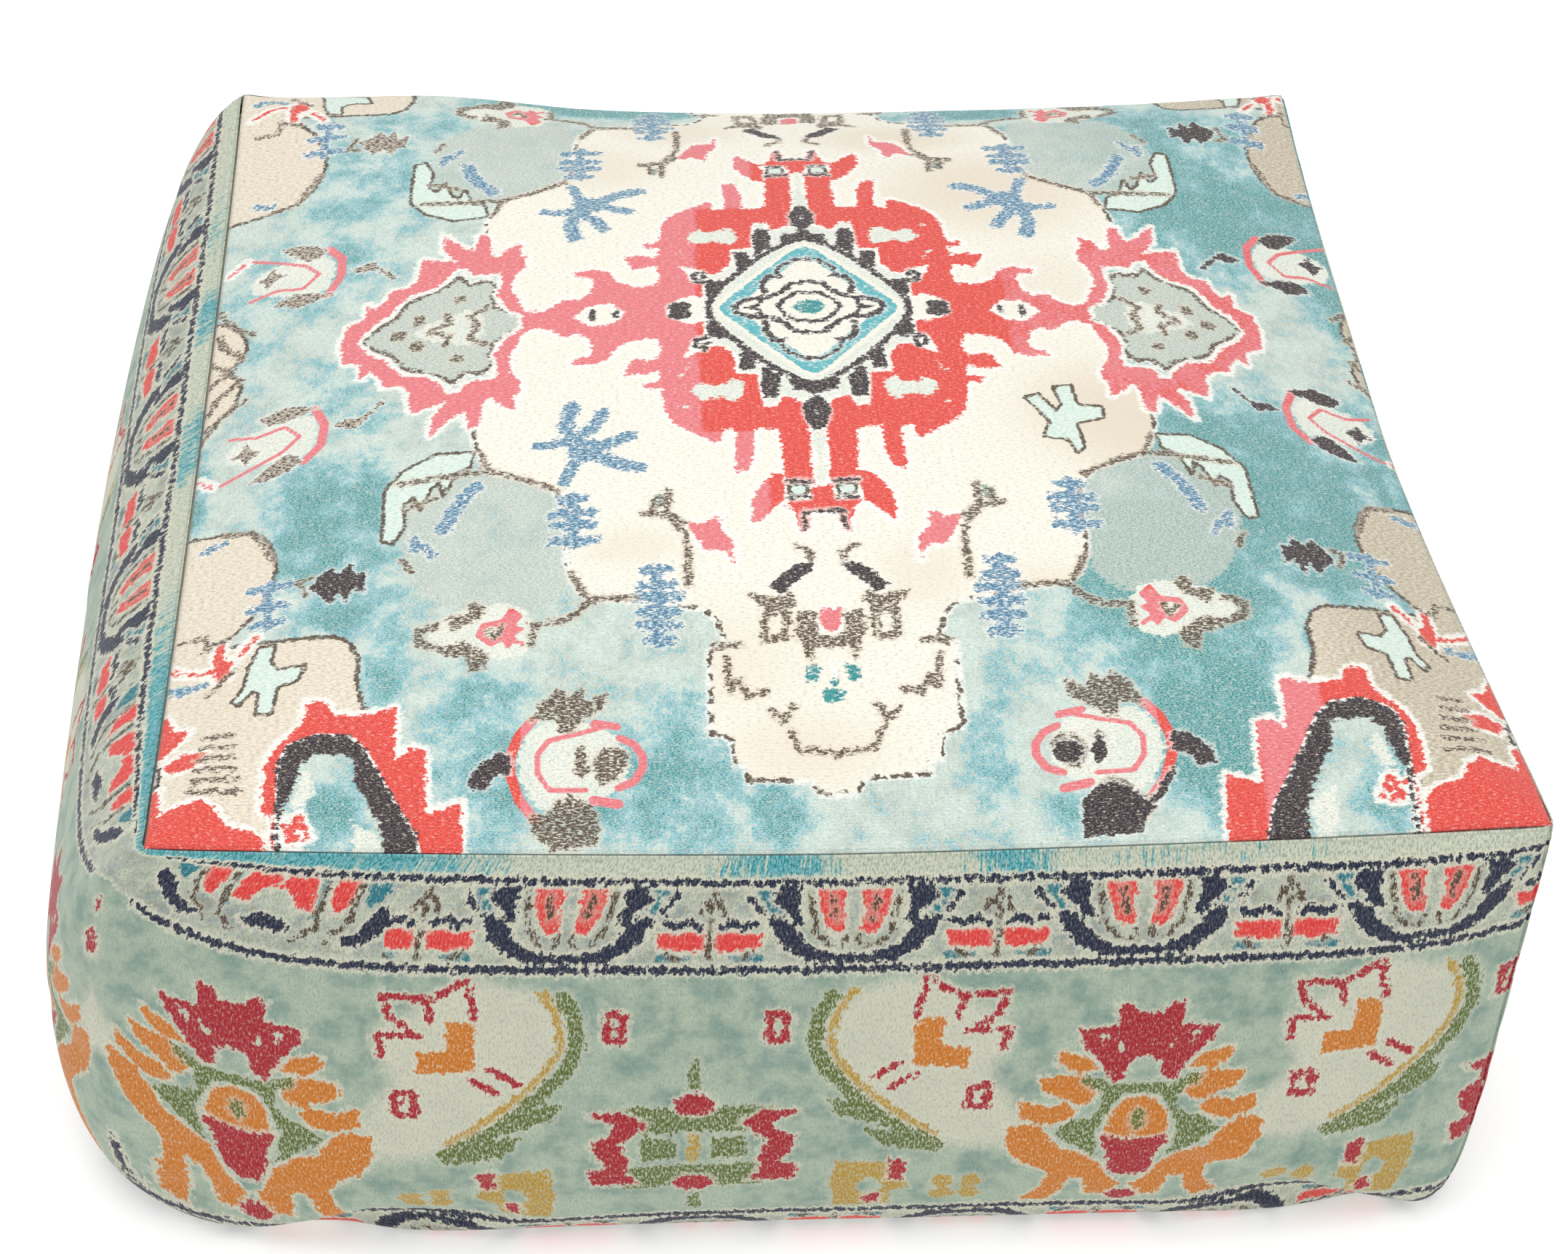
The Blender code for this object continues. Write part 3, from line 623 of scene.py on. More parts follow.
def border_of_hearts(inks):
    """Hearts in a dark ribbon, with red bars between them; and, from 200, half of the double heart."""
    navy = inks["navy"]
    navy.line(2.6, (-10, 15), (80, 15)).line(3.2, (-10, 61), (80, 61)).line(2.6, (190, 15), (260, 15))
    navy.line(3.2, (190, 61), (260, 61))
    navy.area((-8, 53), (8, 53), (15, 51), (22, 46), (27, 38), (31, 34), (38, 33), (35, 43), (28, 51),
        (18, 57),
              (8, 57), (-8, 57))
    navy.area((24, 18), (33, 17), (37, 24), (30, 30), (27, 37), (22, 36), (25, 27))
    navy.line(3.0, (44, 36), (49, 38), (54, 35), (59, 38)).line(2.4, (42, 30), (47, 22))
    navy.area((232, 49), (242, 44), (249, 32), (256, 27), (257, 36), (250, 46), (240, 52)).area(
        (196, 40), (204, 41), (212, 45), (206, 48), (196, 46))
    red = inks["red"]
    red.area((4, 19), (17, 18), (15, 28), (12, 37), (8, 42), (4, 40), (5, 30))
    red.area((41, 42), (61, 40), (62, 50), (53, 51), (42, 49))
    red.area((225, 15), (237, 14), (235, 32), (229, 36), (226, 28)).area(
        (202, 14), (214, 13), (218, 26), (219, 35), (211, 34), (205, 24), (201, 26))
    teal = inks["teal_patch"]
    teal.area((31, 18), (47, 19), (43, 29), (37, 34), (31, 33), soft=1).area((42, 52), (56, 53), (52, 57),
        (40, 57))
    teal.area((218, 18), (222, 18), (223, 40), (219, 40)).area((240, 18), (252, 17), (248, 28), (243, 32))
    brown = inks["brown_dots"]
    brown.line(2.0, (10, 22), (8, 34)).line(2.2, (64, 18), (64, 58)).line(2.2, (62, 24), (57, 34))
    brown.line(2.0, (20, 20), (17, 40), (11, 48)).line(2.0, (3, 44), (5, 49)).line(2.2, (46, 52), (50, 56))
    brown.line(2.2, (222, 20), (222, 44), (214, 52)).line(2.2, (238, 20), (236, 40), (228, 50))


def flower_crown(ink):
    """The crimson crown and cup of a flower."""
    ink.area((-8, 92), (5, 91), (9, 86), (15, 85), (14, 98), (32, 100), (29, 108), (23, 116), (18, 124),
        (14, 132),
             (9, 130), (8, 122), (4, 117), (-8, 117))
    ink.cut((9, 112), (14, 106), (13, 114)).cut((18, 103), (24, 102), (20, 110))
    ink.area((-8, 168), (6, 168), (17, 165), (12, 176), (10, 190), (5, 195), (-8, 195))
    ink.oval(0, 213, 7, 4.5)


def flower_leaves(ink):
    """The flower's orange leaves and the orange corner pieces."""
    ink.area((-10, 141), (0, 141), (8, 144), (13, 152), (15, 167), (-10, 168))
    ink.area((20, 124), (26, 117), (40, 113), (39, 120), (31, 126)).area(
        (20, 138), (24, 130), (31, 127), (47, 129), (45, 137), (36, 141), (30, 145), (24, 144))
    ink.area((29, 150), (34, 145), (44, 147), (55, 143), (55, 153), (43, 158), (34, 156))
    ink.area((8, 199), (14, 187), (24, 178), (36, 174), (40, 166), (48, 158), (60, 159), (60, 172),
        (53, 184),
             (44, 188), (37, 194), (39, 206), (48, 217), (36, 218), (30, 208), (28, 198), (20, 198),
                 (17, 212),
             (6, 213), (3, 204))
    ink.area((94, 90), (106, 90), (106, 118), (81, 120), (81, 108), (94, 107))


def green_work(ink):
    """Green leaves: round the flower's eye, in the long crescent, and in the lattice between flowers."""
    ink.area((-8, 134), (10, 134), (27, 128), (26, 134), (18, 138), (17, 148), (22, 154), (30, 156),
        (39, 164),
             (32, 169), (24, 175), (17, 182), (18, 168), (20, 162), (15, 150), (9, 140), (-8, 138))
    ink.oval(0, 155, 3, 6)
    ink.line(6.5, (144, 76), (150, 88), (151, 104), (146, 118), (134, 134), (122, 148), (108, 160),
        (92, 170))
    ink.area((126, 142), (144, 138), (140, 148), (120, 156)).area((106, 162), (126, 158), (118, 170),
        (92, 175))
    ink.area((166, 142), (212, 142), (212, 156), (172, 158)).area((168, 180), (212, 180), (212, 194),
        (172, 196))
    ink.area((180, 162), (195, 162), (195, 175), (180, 175))
    ink.line(2.6, (203.5, 113), (202, 129)).line(2.6, (203.5, 200), (202, 215))


def small_crimson(ink):
    """Broken crimson outlines, small rings and the lattice's crimson bars."""
    for stroke in (((102, 66), (106, 88)), ((100, 68), (86, 78)), ((84, 78), (66, 76)),
        ((85, 78), (87, 89)),
                   ((66, 77), (69, 88)), ((82, 98), (66, 98)), ((64, 98), (66, 110)),
                       ((125, 126), (113, 117)),
                   ((116, 132), (105, 123)), ((70, 88), (78, 96))):
        ink.line(2.8, *stroke)
    ink.ring(3.4, (71, 132), (79, 132), (80, 145), (71, 145)).ring(3.4, (164, 86), (171, 86), (171, 101),
        (164, 101))
    ink.area((156, 145), (172, 144), (182, 152), (176, 158), (170, 164), (174, 176), (172, 184), (178, 192),
             (158, 192), (156, 182), (166, 180), (160, 172), (158, 162), (166, 158), (168, 152))
    ink.oval(203.5, 140, 9, 6.5).oval(203.5, 193, 9, 5.5)
    ink.area((106, 182), (113, 180), (113, 196), (107, 196)).oval(120, 212, 3.4, 4.4)


# The cloth's colours, as the eye sees them, from 0 to 255

def dye(red, green, blue):
    """A colour as the shader wants it."""
    out = []
    for part in (red, green, blue):
        part = part / 255
        out.append(part / 12.92 if part < 0.04045 else ((part + 0.055) / 1.055) ** 2.4)
    return (*out, 1.0)


CREAM = dye(240, 236, 222)
WARM_CREAM = dye(222, 208, 186)
WHITE = dye(243, 242, 234)
TAN = dye(222, 210, 188)
PALE_AQUA = dye(192, 212, 203)
GREY_AQUA = dye(176, 188, 176)
TEAL = dye(28, 140, 142)
SKY_TEAL = dye(108, 178, 188)
CORAL = dye(222, 66, 54)
ROSE = dye(226, 118, 124)
AUBERGINE = dye(42, 28, 38)
BROWN = dye(84, 68, 52)
THREAD_BLUE = dye(72, 122, 156)
CELADON = dye(172, 188, 168)
MOTTLE = dye(116, 148, 138)
NAVY = dye(22, 34, 62)
CRIMSON = dye(168, 22, 42)
RED = dye(226, 64, 62)
ORANGE = dye(206, 122, 30)
GOLD = dye(186, 150, 58)
OLIVE = dye(96, 112, 46)
BAND_CREAM = dye(214, 212, 192)
BORDER_BLUE = dye(36, 84, 124)
BORDER_TEAL = dye(36, 120, 132)
PALE_BLUE = dye(150, 186, 198)
PALE_LEAF = dye(212, 230, 218)
DIAMOND_TEAL = dye(84, 176, 184)
CANVAS = dye(214, 202, 176)


class Amount:
    """A number that varies over a surface. Python's operators on it add Math nodes."""

    def __init__(self, finish, socket):
        self.finish, self.socket = finish, socket

    def math(self, operation, *others, clamp=False):
        inputs = {i: value for i, value in enumerate((self, *others))}
        return self.finish.node("ShaderNodeMath", inputs, operation=operation, use_clamp=clamp)

    def __add__(self, other):
        return self.math("ADD", other)

    __radd__ = __add__

    def __mul__(self, other):
        return self.math("MULTIPLY", other)

    __rmul__ = __mul__

    def __sub__(self, other):
        return self.math("SUBTRACT", other)

    def __rsub__(self, other):
        return self.finish.node("ShaderNodeMath", {0: other, 1: self}, operation="SUBTRACT")

    def __truediv__(self, other):
        return self.math("DIVIDE", other)

    def inside(self, edge=0.0, soft=0.5):
        """1 where the number is below edge, 0 where it is above, and a soft step between."""
        return self.math("MULTIPLY_ADD", -1.0 / soft, edge / soft + 0.5, clamp=True)

    def above(self, edge=0.0, soft=0.5):
        return self.math("MULTIPLY_ADD", 1.0 / soft, 0.5 - edge / soft, clamp=True)

    def near(self, width, soft=0.5):
        """1 within half a width of zero: a line along an ink's edge."""
        return self.math("ABSOLUTE").inside(width / 2, soft)


class Finish:
    """A material under construction: its nodes, and the surface shader at their end."""

    def __init__(self, name, roughness=0.85, **sockets):
        self.material = bpy.data.materials.new(name)
        self.material.use_nodes = True
        self.tree = self.material.node_tree
        self.shader = self.tree.nodes["Principled BSDF"]
        self.shader.inputs["Roughness"].default_value = roughness
        for socket, value in sockets.items():
            self.shader.inputs[socket.replace("_", " ")].default_value = value

    def node(self, kind, inputs=None, output=0, **settings):
        """Adds a node: its settings first, then its sockets' values or links. Returns one output."""
        node = self.tree.nodes.new(kind)
        for name, value in settings.items():
            setattr(node, name, value)
        for name, value in (inputs or {}).items():
            socket = node.inputs[name]
            if isinstance(value, Amount):
                self.tree.links.new(value.socket, socket)
            else:
                socket.default_value = value
        return Amount(self, node.outputs[output])

    def ink(self, name):
        return self.node("ShaderNodeAttribute", output="Fac", attribute_name=name)

    def mix(self, share, under, over):
        """The colour under, covered by the colour over in that share."""
        return self.node("ShaderNodeMix", {0: share, 6: under, 7: over}, output=2, data_type="RGBA")

    def noise(self, where, scale, detail=2.0, rough=0.5, stretch=None):
        if stretch:
            where = self.node("ShaderNodeMapping", {"Vector": where, "Scale": stretch})
        return self.node("ShaderNodeTexNoise", {"Vector": where, "Scale": scale, "Detail": detail,
                                                "Roughness": rough}, noise_dimensions="2D")

    def cells(self, where, wide, high):
        """A random number for each small block of the weave."""
        scaled = self.node("ShaderNodeVectorMath", {0: where, 1: (1 / wide, 1 / high, 1)},
            operation="MULTIPLY")
        block = self.node("ShaderNodeVectorMath", {0: scaled}, operation="FLOOR")
        return self.node("ShaderNodeTexWhiteNoise", {"Vector": block}, noise_dimensions="2D")

    def weave(self):
        """The place on the cloth, in millimetres, from the sheet's own map."""
        return self.node("ShaderNodeUVMap", uv_map="weave")

    def end(self, colour=None, roughness=None, height=None, bump=0.0005, strength=1.0):
        if colour is not None:
            self.tree.links.new(colour.socket, self.shader.inputs["Base Color"])
        if roughness is not None:
            self.tree.links.new(roughness.socket, self.shader.inputs["Roughness"])
        if height is not None:
            bent = self.node("ShaderNodeBump", {"Strength": strength, "Distance": bump, "Height": height},
                             output="Normal")
            self.tree.links.new(bent.socket, self.shader.inputs["Normal"])
        return self.material


RIB = 1.7                # millimetres between the canvas's ribs
THREAD = 1.1


def canvas_relief(finish, where):
    """The height of the ribbed canvas: ribs along the map's first axis, crossed by finer threads."""
    parts = finish.node("ShaderNodeSeparateXYZ", {0: where})
    across = Amount(finish, parts.socket.node.outputs["X"])
    along = Amount(finish, parts.socket.node.outputs["Y"])
    ribs = (along * (2 * math.pi / RIB)).math("SINE")
    threads = (across * (2 * math.pi / THREAD)).math("SINE")
    slub = finish.noise(where, 0.25, 3.0, 0.6, stretch=(0.4, 2.2, 1))
    return ribs * 0.5 + threads * 0.22 + slub * 1.2


def top_canvas():
    """The printed canvas of the top panel."""
    f = Finish("printed_canvas_top", roughness=0.86, Sheen_Weight=0.15, Sheen_Roughness=0.5,
        Specular_IOR_Level=0.2)
    where = f.weave()
    thread = f.noise(where, 0.85, 3.0, 0.7,
        stretch=(0.5, 1.3, 1))       # along the ribs, about 3 mm by 1 mm
    knots = f.cells(where, 2.2, RIB)
    jag = f.noise(where, 0.34, 4.0, 0.72, stretch=(0.7, 1.2, 1)) * 9.0 + knots * 1.3 - 5.15
    patch = f.noise(where, 0.045, 6.0, 0.72)
    light = (thread * 0.75 + knots * 0.25).above(0.63, 0.14)             # bare threads
    lint = f.noise(where, 1.9, 2.0, 0.6, stretch=(0.45, 1.25, 1)).above(0.52, 0.14)
    gaps = (thread * 0.7 + knots * 0.3).inside(0.66, 0.12)               # where a broken ink does take

    level = f.ink("ground_teal") * 1.15 + patch * 2.6 + thread * 1.9 + knots * 0.3 - 2.4
    colour = f.mix((patch + thread * 0.5).above(0.76, 0.2), PALE_AQUA, GREY_AQUA)
    colour = f.mix(level.above(0.34, 0.14), colour, SKY_TEAL)
    ground = f.mix(level.above(0.72, 0.16), colour, TEAL)
    ground = f.mix(light * 0.3, f.mix(lint * 0.34, ground, WHITE), WHITE)

    lobe = f.ink("pale_lobe") + jag
    colour = f.mix(lobe.inside() * 0.7, ground, f.mix(lint * 0.45, GREY_AQUA, WHITE))
    tan = f.ink("tan_ground") + jag * 0.6
    # the tan is mixed darker towards the right edge of the top: painted shade
    tan_cloth = f.mix(f.ink("right_painted_shade") * 0.75, TAN, dye(176, 164, 136))
    colour = f.mix(tan.inside(), colour, f.mix(thread.above(0.56, 0.2) * 0.45, tan_cloth, WHITE))
    colour = f.mix((tan - 0.4).near(2.4) * gaps, colour, BROWN)
    cream = f.ink("cream_field") + jag * 0.6
    shade = f.ink("warm_shade") * thread.above(0.42, 0.2)
    colour = f.mix((cream - 2.5).inside(0.0, 1.6) * 0.8, colour, WHITE)
    colour = f.mix(cream.inside(), colour, f.mix(shade, CREAM, WARM_CREAM))
    dotted = f.noise(where, 0.13, 2.0).above(0.46, 0.05)
    colour = f.mix((cream - 0.3).near(2.2) * dotted * gaps, colour, BROWN)
    colour = f.mix((f.ink("arch_inside") + jag).inside(), colour, ground)

    pendant = f.ink("pendant") + jag
    colour = f.mix(pendant.inside(3.0, 1.0), colour, WHITE)
    colour = f.mix(pendant.inside(), colour, f.mix(lint * 0.5, GREY_AQUA, WHITE))
    colour = f.mix(pendant.near(3.0) * gaps, colour, BROWN)
    red = f.ink("coral") + jag * 0.8
    colour = f.mix(red.inside(2.8, 1.4) * 0.9, colour, WHITE)
    rosy = (f.ink("rose") + patch * 0.8 + thread * 0.5 - 0.65).above(0.5, 0.3)
    inked = f.mix(rosy, CORAL, ROSE)
    inked = f.mix(thread.above(0.66, 0.12) * 0.45, inked, WHITE)
    colour = f.mix(red.inside(), colour, inked)
    opening = f.ink("cream_fill") + jag
    pale = (lint * 0.5 + patch * 0.7).above(0.62, 0.2)
    colour = f.mix((opening + 0.8).inside(), colour, f.mix(pale, CREAM, PALE_AQUA))
    strokes = red.inside() * (opening + 3.0).above(0.0) + f.ink("flower_ring").inside()
    colour = f.mix(strokes, colour, inked)
    arch = f.ink("arch_ring") + jag
    colour = f.mix(arch.inside(), colour, f.mix(thread.above(0.64, 0.08) * 0.7, AUBERGINE, TAN))

    white = f.ink("white_figure") + jag * 0.4
    colour = f.mix(white.inside(), colour, f.mix(light * 0.6, PALE_LEAF, WHITE))
    colour = f.mix((white - 0.3).near(1.9) * gaps, colour, BROWN)
    nested = f.ink("diamond") + jag * 0.4
    colour = f.mix(nested.inside(), colour, CREAM)
    colour = f.mix((nested + 6.8).near(8.0), colour, f.mix(light * 0.8, DIAMOND_TEAL, WHITE))
    tealed = f.ink("teal_figure") + jag * 0.8
    colour = f.mix(tealed.inside(), colour, f.mix(light, TEAL, WHITE))
    blue = f.ink("blue_thread") + jag
    colour = f.mix(blue.inside(1.6, 1.2) * 0.6, colour, WHITE)
    colour = f.mix(blue.inside() * 0.9, colour, f.mix(light, PALE_BLUE, WHITE))
    colour = f.mix(blue.inside(0.6) * thread.inside(0.53, 0.06), colour, THREAD_BLUE)
    brown = f.ink("brown_speckle") + jag * 0.8
    colour = f.mix(brown.inside(1.6, 1.2) * 0.5, colour, WARM_CREAM)
    colour = f.mix(brown.inside(0.4) * thread.inside(0.56, 0.06), colour, BROWN)
    dark = f.ink("dark_figure") + jag * 0.7
    colour = f.mix(dark.inside(1.4, 1.0) * 0.5, colour, WHITE)
    broken = (thread + f.ink("worn_left") * 0.15).above(0.64, 0.06)
    colour = f.mix(dark.inside(0.2), colour, f.mix(broken * 0.8, AUBERGINE, TAN))
    colour = f.mix(lint * 0.12, colour, WHITE)
    colour = f.mix(thread.inside(0.40, 0.2) * 0.28, colour, AUBERGINE)
    return f.end(colour, None, canvas_relief(f, where), 0.00025, 0.6)


def band_canvas():
    """The printed canvas of the band."""
    f = Finish("printed_canvas_band", roughness=0.86, Sheen_Weight=0.15, Sheen_Roughness=0.5,
        Specular_IOR_Level=0.2)
    where = f.weave()
    thread = f.noise(where, 0.85, 3.0, 0.7, stretch=(1.3, 0.5, 1))
    knots = f.cells(where, RIB, 2.2)
    jag = f.noise(where, 0.30, 4.0, 0.72, stretch=(1.2, 0.7, 1)) * 9.0 + knots * 1.3 - 5.15
    patch = f.noise(where, 0.05, 6.0, 0.70)
    depth = f.ink("print_depth") + jag * 0.5

    mottled = (patch * 1.3 + thread).above(1.20, 0.22)
    colour = f.mix(mottled * 0.85, CELADON, MOTTLE)
    cream = f.ink("cream_shape") + jag
    colour = f.mix(cream.inside(3.0, 9.0) * 0.8, colour, BAND_CREAM)
    border = depth.inside(61, 0.8).math("MAXIMUM", depth.above(223, 0.8))
    busy = (thread * 0.8 + patch * 0.5).above(0.68, 0.05)
    cloth = f.mix(thread.above(0.47, 0.2) * 0.8, CELADON, BAND_CREAM)
    colour = f.mix(border, colour, cloth)
    inner = (depth - 38).near(40, 3.0).math("MAXIMUM", (depth - 244).near(26, 3.0))
    colour = f.mix(inner * busy * 0.6, colour, f.mix(knots.above(0.45, 0.1), BROWN, BORDER_BLUE))
    stripe = depth.inside(13.5, 0.8)
    streaks = f.noise(where, 0.3, 2.0, 0.6, stretch=(2.4, 0.16, 1))
    strong = (f.ink("stripe_teal") * 0.5 + patch * 0.7 + streaks * 0.9).above(1.12, 0.16)
    colour = f.mix(stripe, colour, f.mix(strong, cloth, f.mix(thread.above(0.48, 0.2), TEAL, SKY_TEAL)))

    for name, tint, gap, halo in (
        ("gold", GOLD, 0.60, 0.3), ("orange", ORANGE, 0.66, 0.8), ("green", OLIVE, 0.57, 0.4),
        ("crimson", CRIMSON, 0.68, 0.7), ("teal_patch", BORDER_TEAL, 0.66, 0.4), ("red", RED, 0.70, 0.9),
        ("brown_dots", BROWN, 0.60, 0.3), ("navy", NAVY, 0.74, 0.9),
    ):
        field = f.ink(name) + jag
        colour = f.mix(field.inside(2.2, 1.6) * halo, colour, BAND_CREAM)
        colour = f.mix(field.inside(0.3) * thread.inside(gap, 0.08), colour, tint)
    colour = f.mix(thread.above(0.56, 0.16) * 0.14, colour, BAND_CREAM)
    colour = f.mix(thread.inside(0.42, 0.2) * 0.30, colour, AUBERGINE)
    turned = f.node("ShaderNodeMapping", {"Vector": where, "Rotation": (0, 0, math.pi / 2)})
    return f.end(colour, None, canvas_relief(f, turned), 0.00025, 0.6)


def plain_canvas():
    """The unprinted canvas of the underside."""
    f = Finish("plain_canvas", roughness=0.9, Sheen_Weight=0.12, Sheen_Roughness=0.5,
        Specular_IOR_Level=0.2)
    where = f.weave()
    slub = f.noise(where, 0.3, 3.0, 0.6, stretch=(0.3, 2.0, 1))
    colour = f.mix(slub.above(0.52, 0.2) * 0.5, CANVAS, dye(190, 176, 148))
    flecks = f.cells(where, 2.4, 0.9).above(0.985, 0.01)
    colour = f.mix(flecks * 0.6, colour, dye(120, 98, 66))
    return f.end(colour, None, canvas_relief(f, where), 0.00025, 0.6)


# The sheets

def grid_mesh(name, points, weave, inks):
    """A sheet from a grid of points, with its cloth map in millimetres and its inks as attributes."""
    rows, columns = points.shape[:2]
    mesh = bpy.data.meshes.new(name)
    mesh.vertices.add(rows * columns)
    mesh.vertices.foreach_set("co", points.astype(np.float32).ravel())
    corner = (np.arange(rows - 1)[:, None] * columns + np.arange(columns - 1)).ravel()
    faces = np.stack([corner, corner + 1, corner + columns + 1, corner + columns], 1)
    mesh.loops.add(faces.size)
    mesh.loops.foreach_set("vertex_index", faces.astype(np.int32).ravel())
    mesh.polygons.add(len(faces))
    mesh.polygons.foreach_set("loop_start", np.arange(0, faces.size, 4, dtype=np.int32))
    mesh.polygons.foreach_set("use_smooth", np.ones(len(faces), bool))
    mesh.update(calc_edges=True)
    for ink, values in inks.items():
        mesh.attributes.new(ink, "FLOAT", "POINT").data.foreach_set("value",
            values.astype(np.float32).ravel())
    mesh.uv_layers.new(name="weave").data.foreach_set("uv",
        weave.reshape(-1, 2)[faces.ravel()].astype(np.float32).ravel())
    return mesh


def add_piece(name, mesh, material, body="cushion"):
    """Puts a finished mesh in the scene as a piece that rides on a body."""
    thing = bpy.data.objects.new(name, mesh)
    bpy.context.scene.collection.objects.link(thing)
    if material:
        mesh.materials.clear()
        mesh.materials.append(material)
    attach(thing, body)
    return thing


ALLOWANCE = 5 * MM       # the cloth beyond the stitches, inside the cover
ROUND = np.linspace(-0.375, 1.375, 2801)
ROUND_LENGTH = np.concatenate([[0], np.cumsum(np.linalg.norm(np.diff(band_surface(ROUND, 0.25), axis=0),
    axis=1))])
ROUND_LENGTH -= np.interp(0.0, ROUND, ROUND_LENGTH)


def steps_across(length, step, hem_before=True, hem_after=True):
    """Distances across a sheet; below 0 and above length they run on into the turned-in hems."""
    hem = ALLOWANCE * np.array([1.0, 0.6, 0.3, 0.1])
    parts = [-hem] if hem_before else []
    parts.append(np.linspace(0, length, max(2, round(length / step) + 1)))
    parts += [length + hem[::-1]] if hem_after else []
    return np.concatenate(parts)


def turned_in(distance):
    """How deep the cloth has turned in, at a distance from the stitched line."""
    return ROLL_DEPTH * np.clip(1 - np.maximum(distance, 0) / (ROLL - ROLL_DEPTH), 0, 1) ** 2


def outward(points):
    """The outward directions of a grid whose rows go down and whose columns run to +X at the front."""
    normal = np.cross(np.gradient(points, axis=0), np.gradient(points, axis=1))
    return normal / np.maximum(np.linalg.norm(normal, axis=-1, keepdims=True), 1e-12)


def level(vectors):
    """The same directions laid level."""
    flat = vectors * (1, 1, 0)
    return flat / np.maximum(np.linalg.norm(flat, axis=-1, keepdims=True), 1e-12)


CAGE = 48                # the coarse form's cells along each side, for the cloth simulation


def cage_form():
    """A coarse, welded form of the whole cover, and where its points lie on a cube."""
    block = bmesh.new()
    bmesh.ops.create_cube(block, size=2.0)
    bmesh.ops.subdivide_edges(block, edges=block.edges[:], cuts=CAGE - 1, use_grid_fill=True)
    mesh = bpy.data.meshes.new("cage")
    block.to_mesh(mesh)
    block.free()
    cube = np.empty(len(mesh.vertices) * 3, np.float32)
    mesh.vertices.foreach_get("co", cube)
    cube = np.round((cube.reshape(-1, 3).astype(float) + 1) * CAGE / 2) * 2 / CAGE - 1
    return mesh, cube


def cube_to_cover(cube):
    """Points of the cover for points of a cube from -1 to 1."""
    p, q, r = cube.T
    points = band_surface(square_place(p, q), (1 - r) / 2)
    points = np.where((r > 0.999)[:, None], top_surface(p, q), points)
    return np.where((r < -0.999)[:, None], base_surface(p, q), points)


def settle_cover():
    """Lets the cover fill out under light pressure, its panels cut a little too large for it.

    Returns the cage's places on the cube and the fine creases alone: the broad movement is taken out again.
    """
    mesh, cube = cage_form()
    rest = cube_to_cover(cube)
    mesh.vertices.foreach_set("co", rest.astype(np.float32).ravel())
    mesh.update()
    thing = bpy.data.objects.new("cage", mesh)
    bpy.context.scene.collection.objects.link(thing)
    high, low = np.sort(np.abs(cube), axis=1)[:, 1], cube[:, 2]
    ease = 1 - smooth((high - 0.80) / 0.17)                         # the panels are full, the seams tight
    pinned = np.where(low < -0.999, 1.0, 0.0)
    zipped = (cube[:, 1] > 0.999) * smooth((0.34 - np.abs(low + 0.45)) / 0.1)
    pinned = np.maximum(pinned, zipped * 0.9)
    pinned = np.maximum(pinned, 0.35 * smooth((high - 0.96) / 0.04))
    for name, weights in (("held", pinned), ("full", ease)):
        group = thing.vertex_groups.new(name=name)
        for index, weight in enumerate(weights):
            if weight > 0:
                group.add([index], float(weight), "REPLACE")
    cloth = thing.modifiers.new("cover", "CLOTH")
    settings = cloth.settings
    settings.quality = 5
    settings.mass = 0.25
    settings.tension_stiffness = settings.compression_stiffness = 18
    settings.shear_stiffness = 6
    settings.bending_stiffness = 0.4
    settings.use_pressure = True
    settings.uniform_pressure_force = 3.0
    settings.vertex_group_mass = "held"
    settings.pin_stiffness = 1.0
    settings.vertex_group_shrink = "full"
    settings.shrink_min = 0.0
    settings.shrink_max = -0.045
    settings.effector_weights.gravity = 0.0
    cloth.point_cache.frame_start, cloth.point_cache.frame_end = 1, 20
    for frame_number in range(1, 21):
        bpy.context.scene.frame_set(frame_number)
    seen = thing.evaluated_get(bpy.context.evaluated_depsgraph_get())
    settled = np.empty(len(rest) * 3, np.float32)
    seen.data.vertices.foreach_get("co", settled)
    edges = np.empty(len(mesh.edges) * 2, np.int32)
    mesh.edges.foreach_get("vertices", edges)
    edges = edges.reshape(-1, 2)
    moved = settled.reshape(-1, 3) - rest
    count = np.bincount(edges.ravel(), minlength=len(rest))[:, None]
    broad = moved.copy()
    for _ in range(60):
        total = np.zeros_like(broad)
        np.add.at(total, edges[:, 0], broad[edges[:, 1]])
        np.add.at(total, edges[:, 1], broad[edges[:, 0]])
        broad = 0.3 * broad + 0.7 * total / count
    creases = (moved - broad) * (1 - np.clip(pinned, 0, 1))[:, None]
    size = np.linalg.norm(creases, axis=1, keepdims=True)
    creases = creases * np.minimum(1, 7 * MM / np.maximum(size, 1e-9))
    bpy.context.scene.frame_set(1)
    bpy.data.objects.remove(thing)
    return cube, creases


def spread(grid, row, column):
    """A smooth reading of a coarse grid of vectors at fractional rows and columns."""
    total = np.zeros((*np.broadcast(row, column).shape, 3))
    row_at, column_at = np.floor(row).astype(int), np.floor(column).astype(int)
    for i in range(-1, 3):
        wr = spline(row - row_at - i)
        for j in range(-1, 3):
            weight = wr * spline(column - column_at - j)
            cell = grid[np.clip(row_at + i, 0, grid.shape[0] - 1),
                np.clip(column_at + j, 0, grid.shape[1] - 1)]
            total = total + weight[..., None] * cell
    return total


def spline(t):
    t = np.abs(t)
    return np.where(t < 1, (4 - 6 * t * t + 3 * t ** 3) / 6, np.where(t < 2, (2 - t) ** 3 / 6, 0.0))


ZIP_MIDDLE = Vector((float(SHIFT[0]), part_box("zip_tape_upper")[0].y + 0.3 * MM, 75 * MM))
ZIP_OPEN = (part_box("zip_tape_upper")[1].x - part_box("zip_tape_upper")[0].x) / 2 - 12 * MM


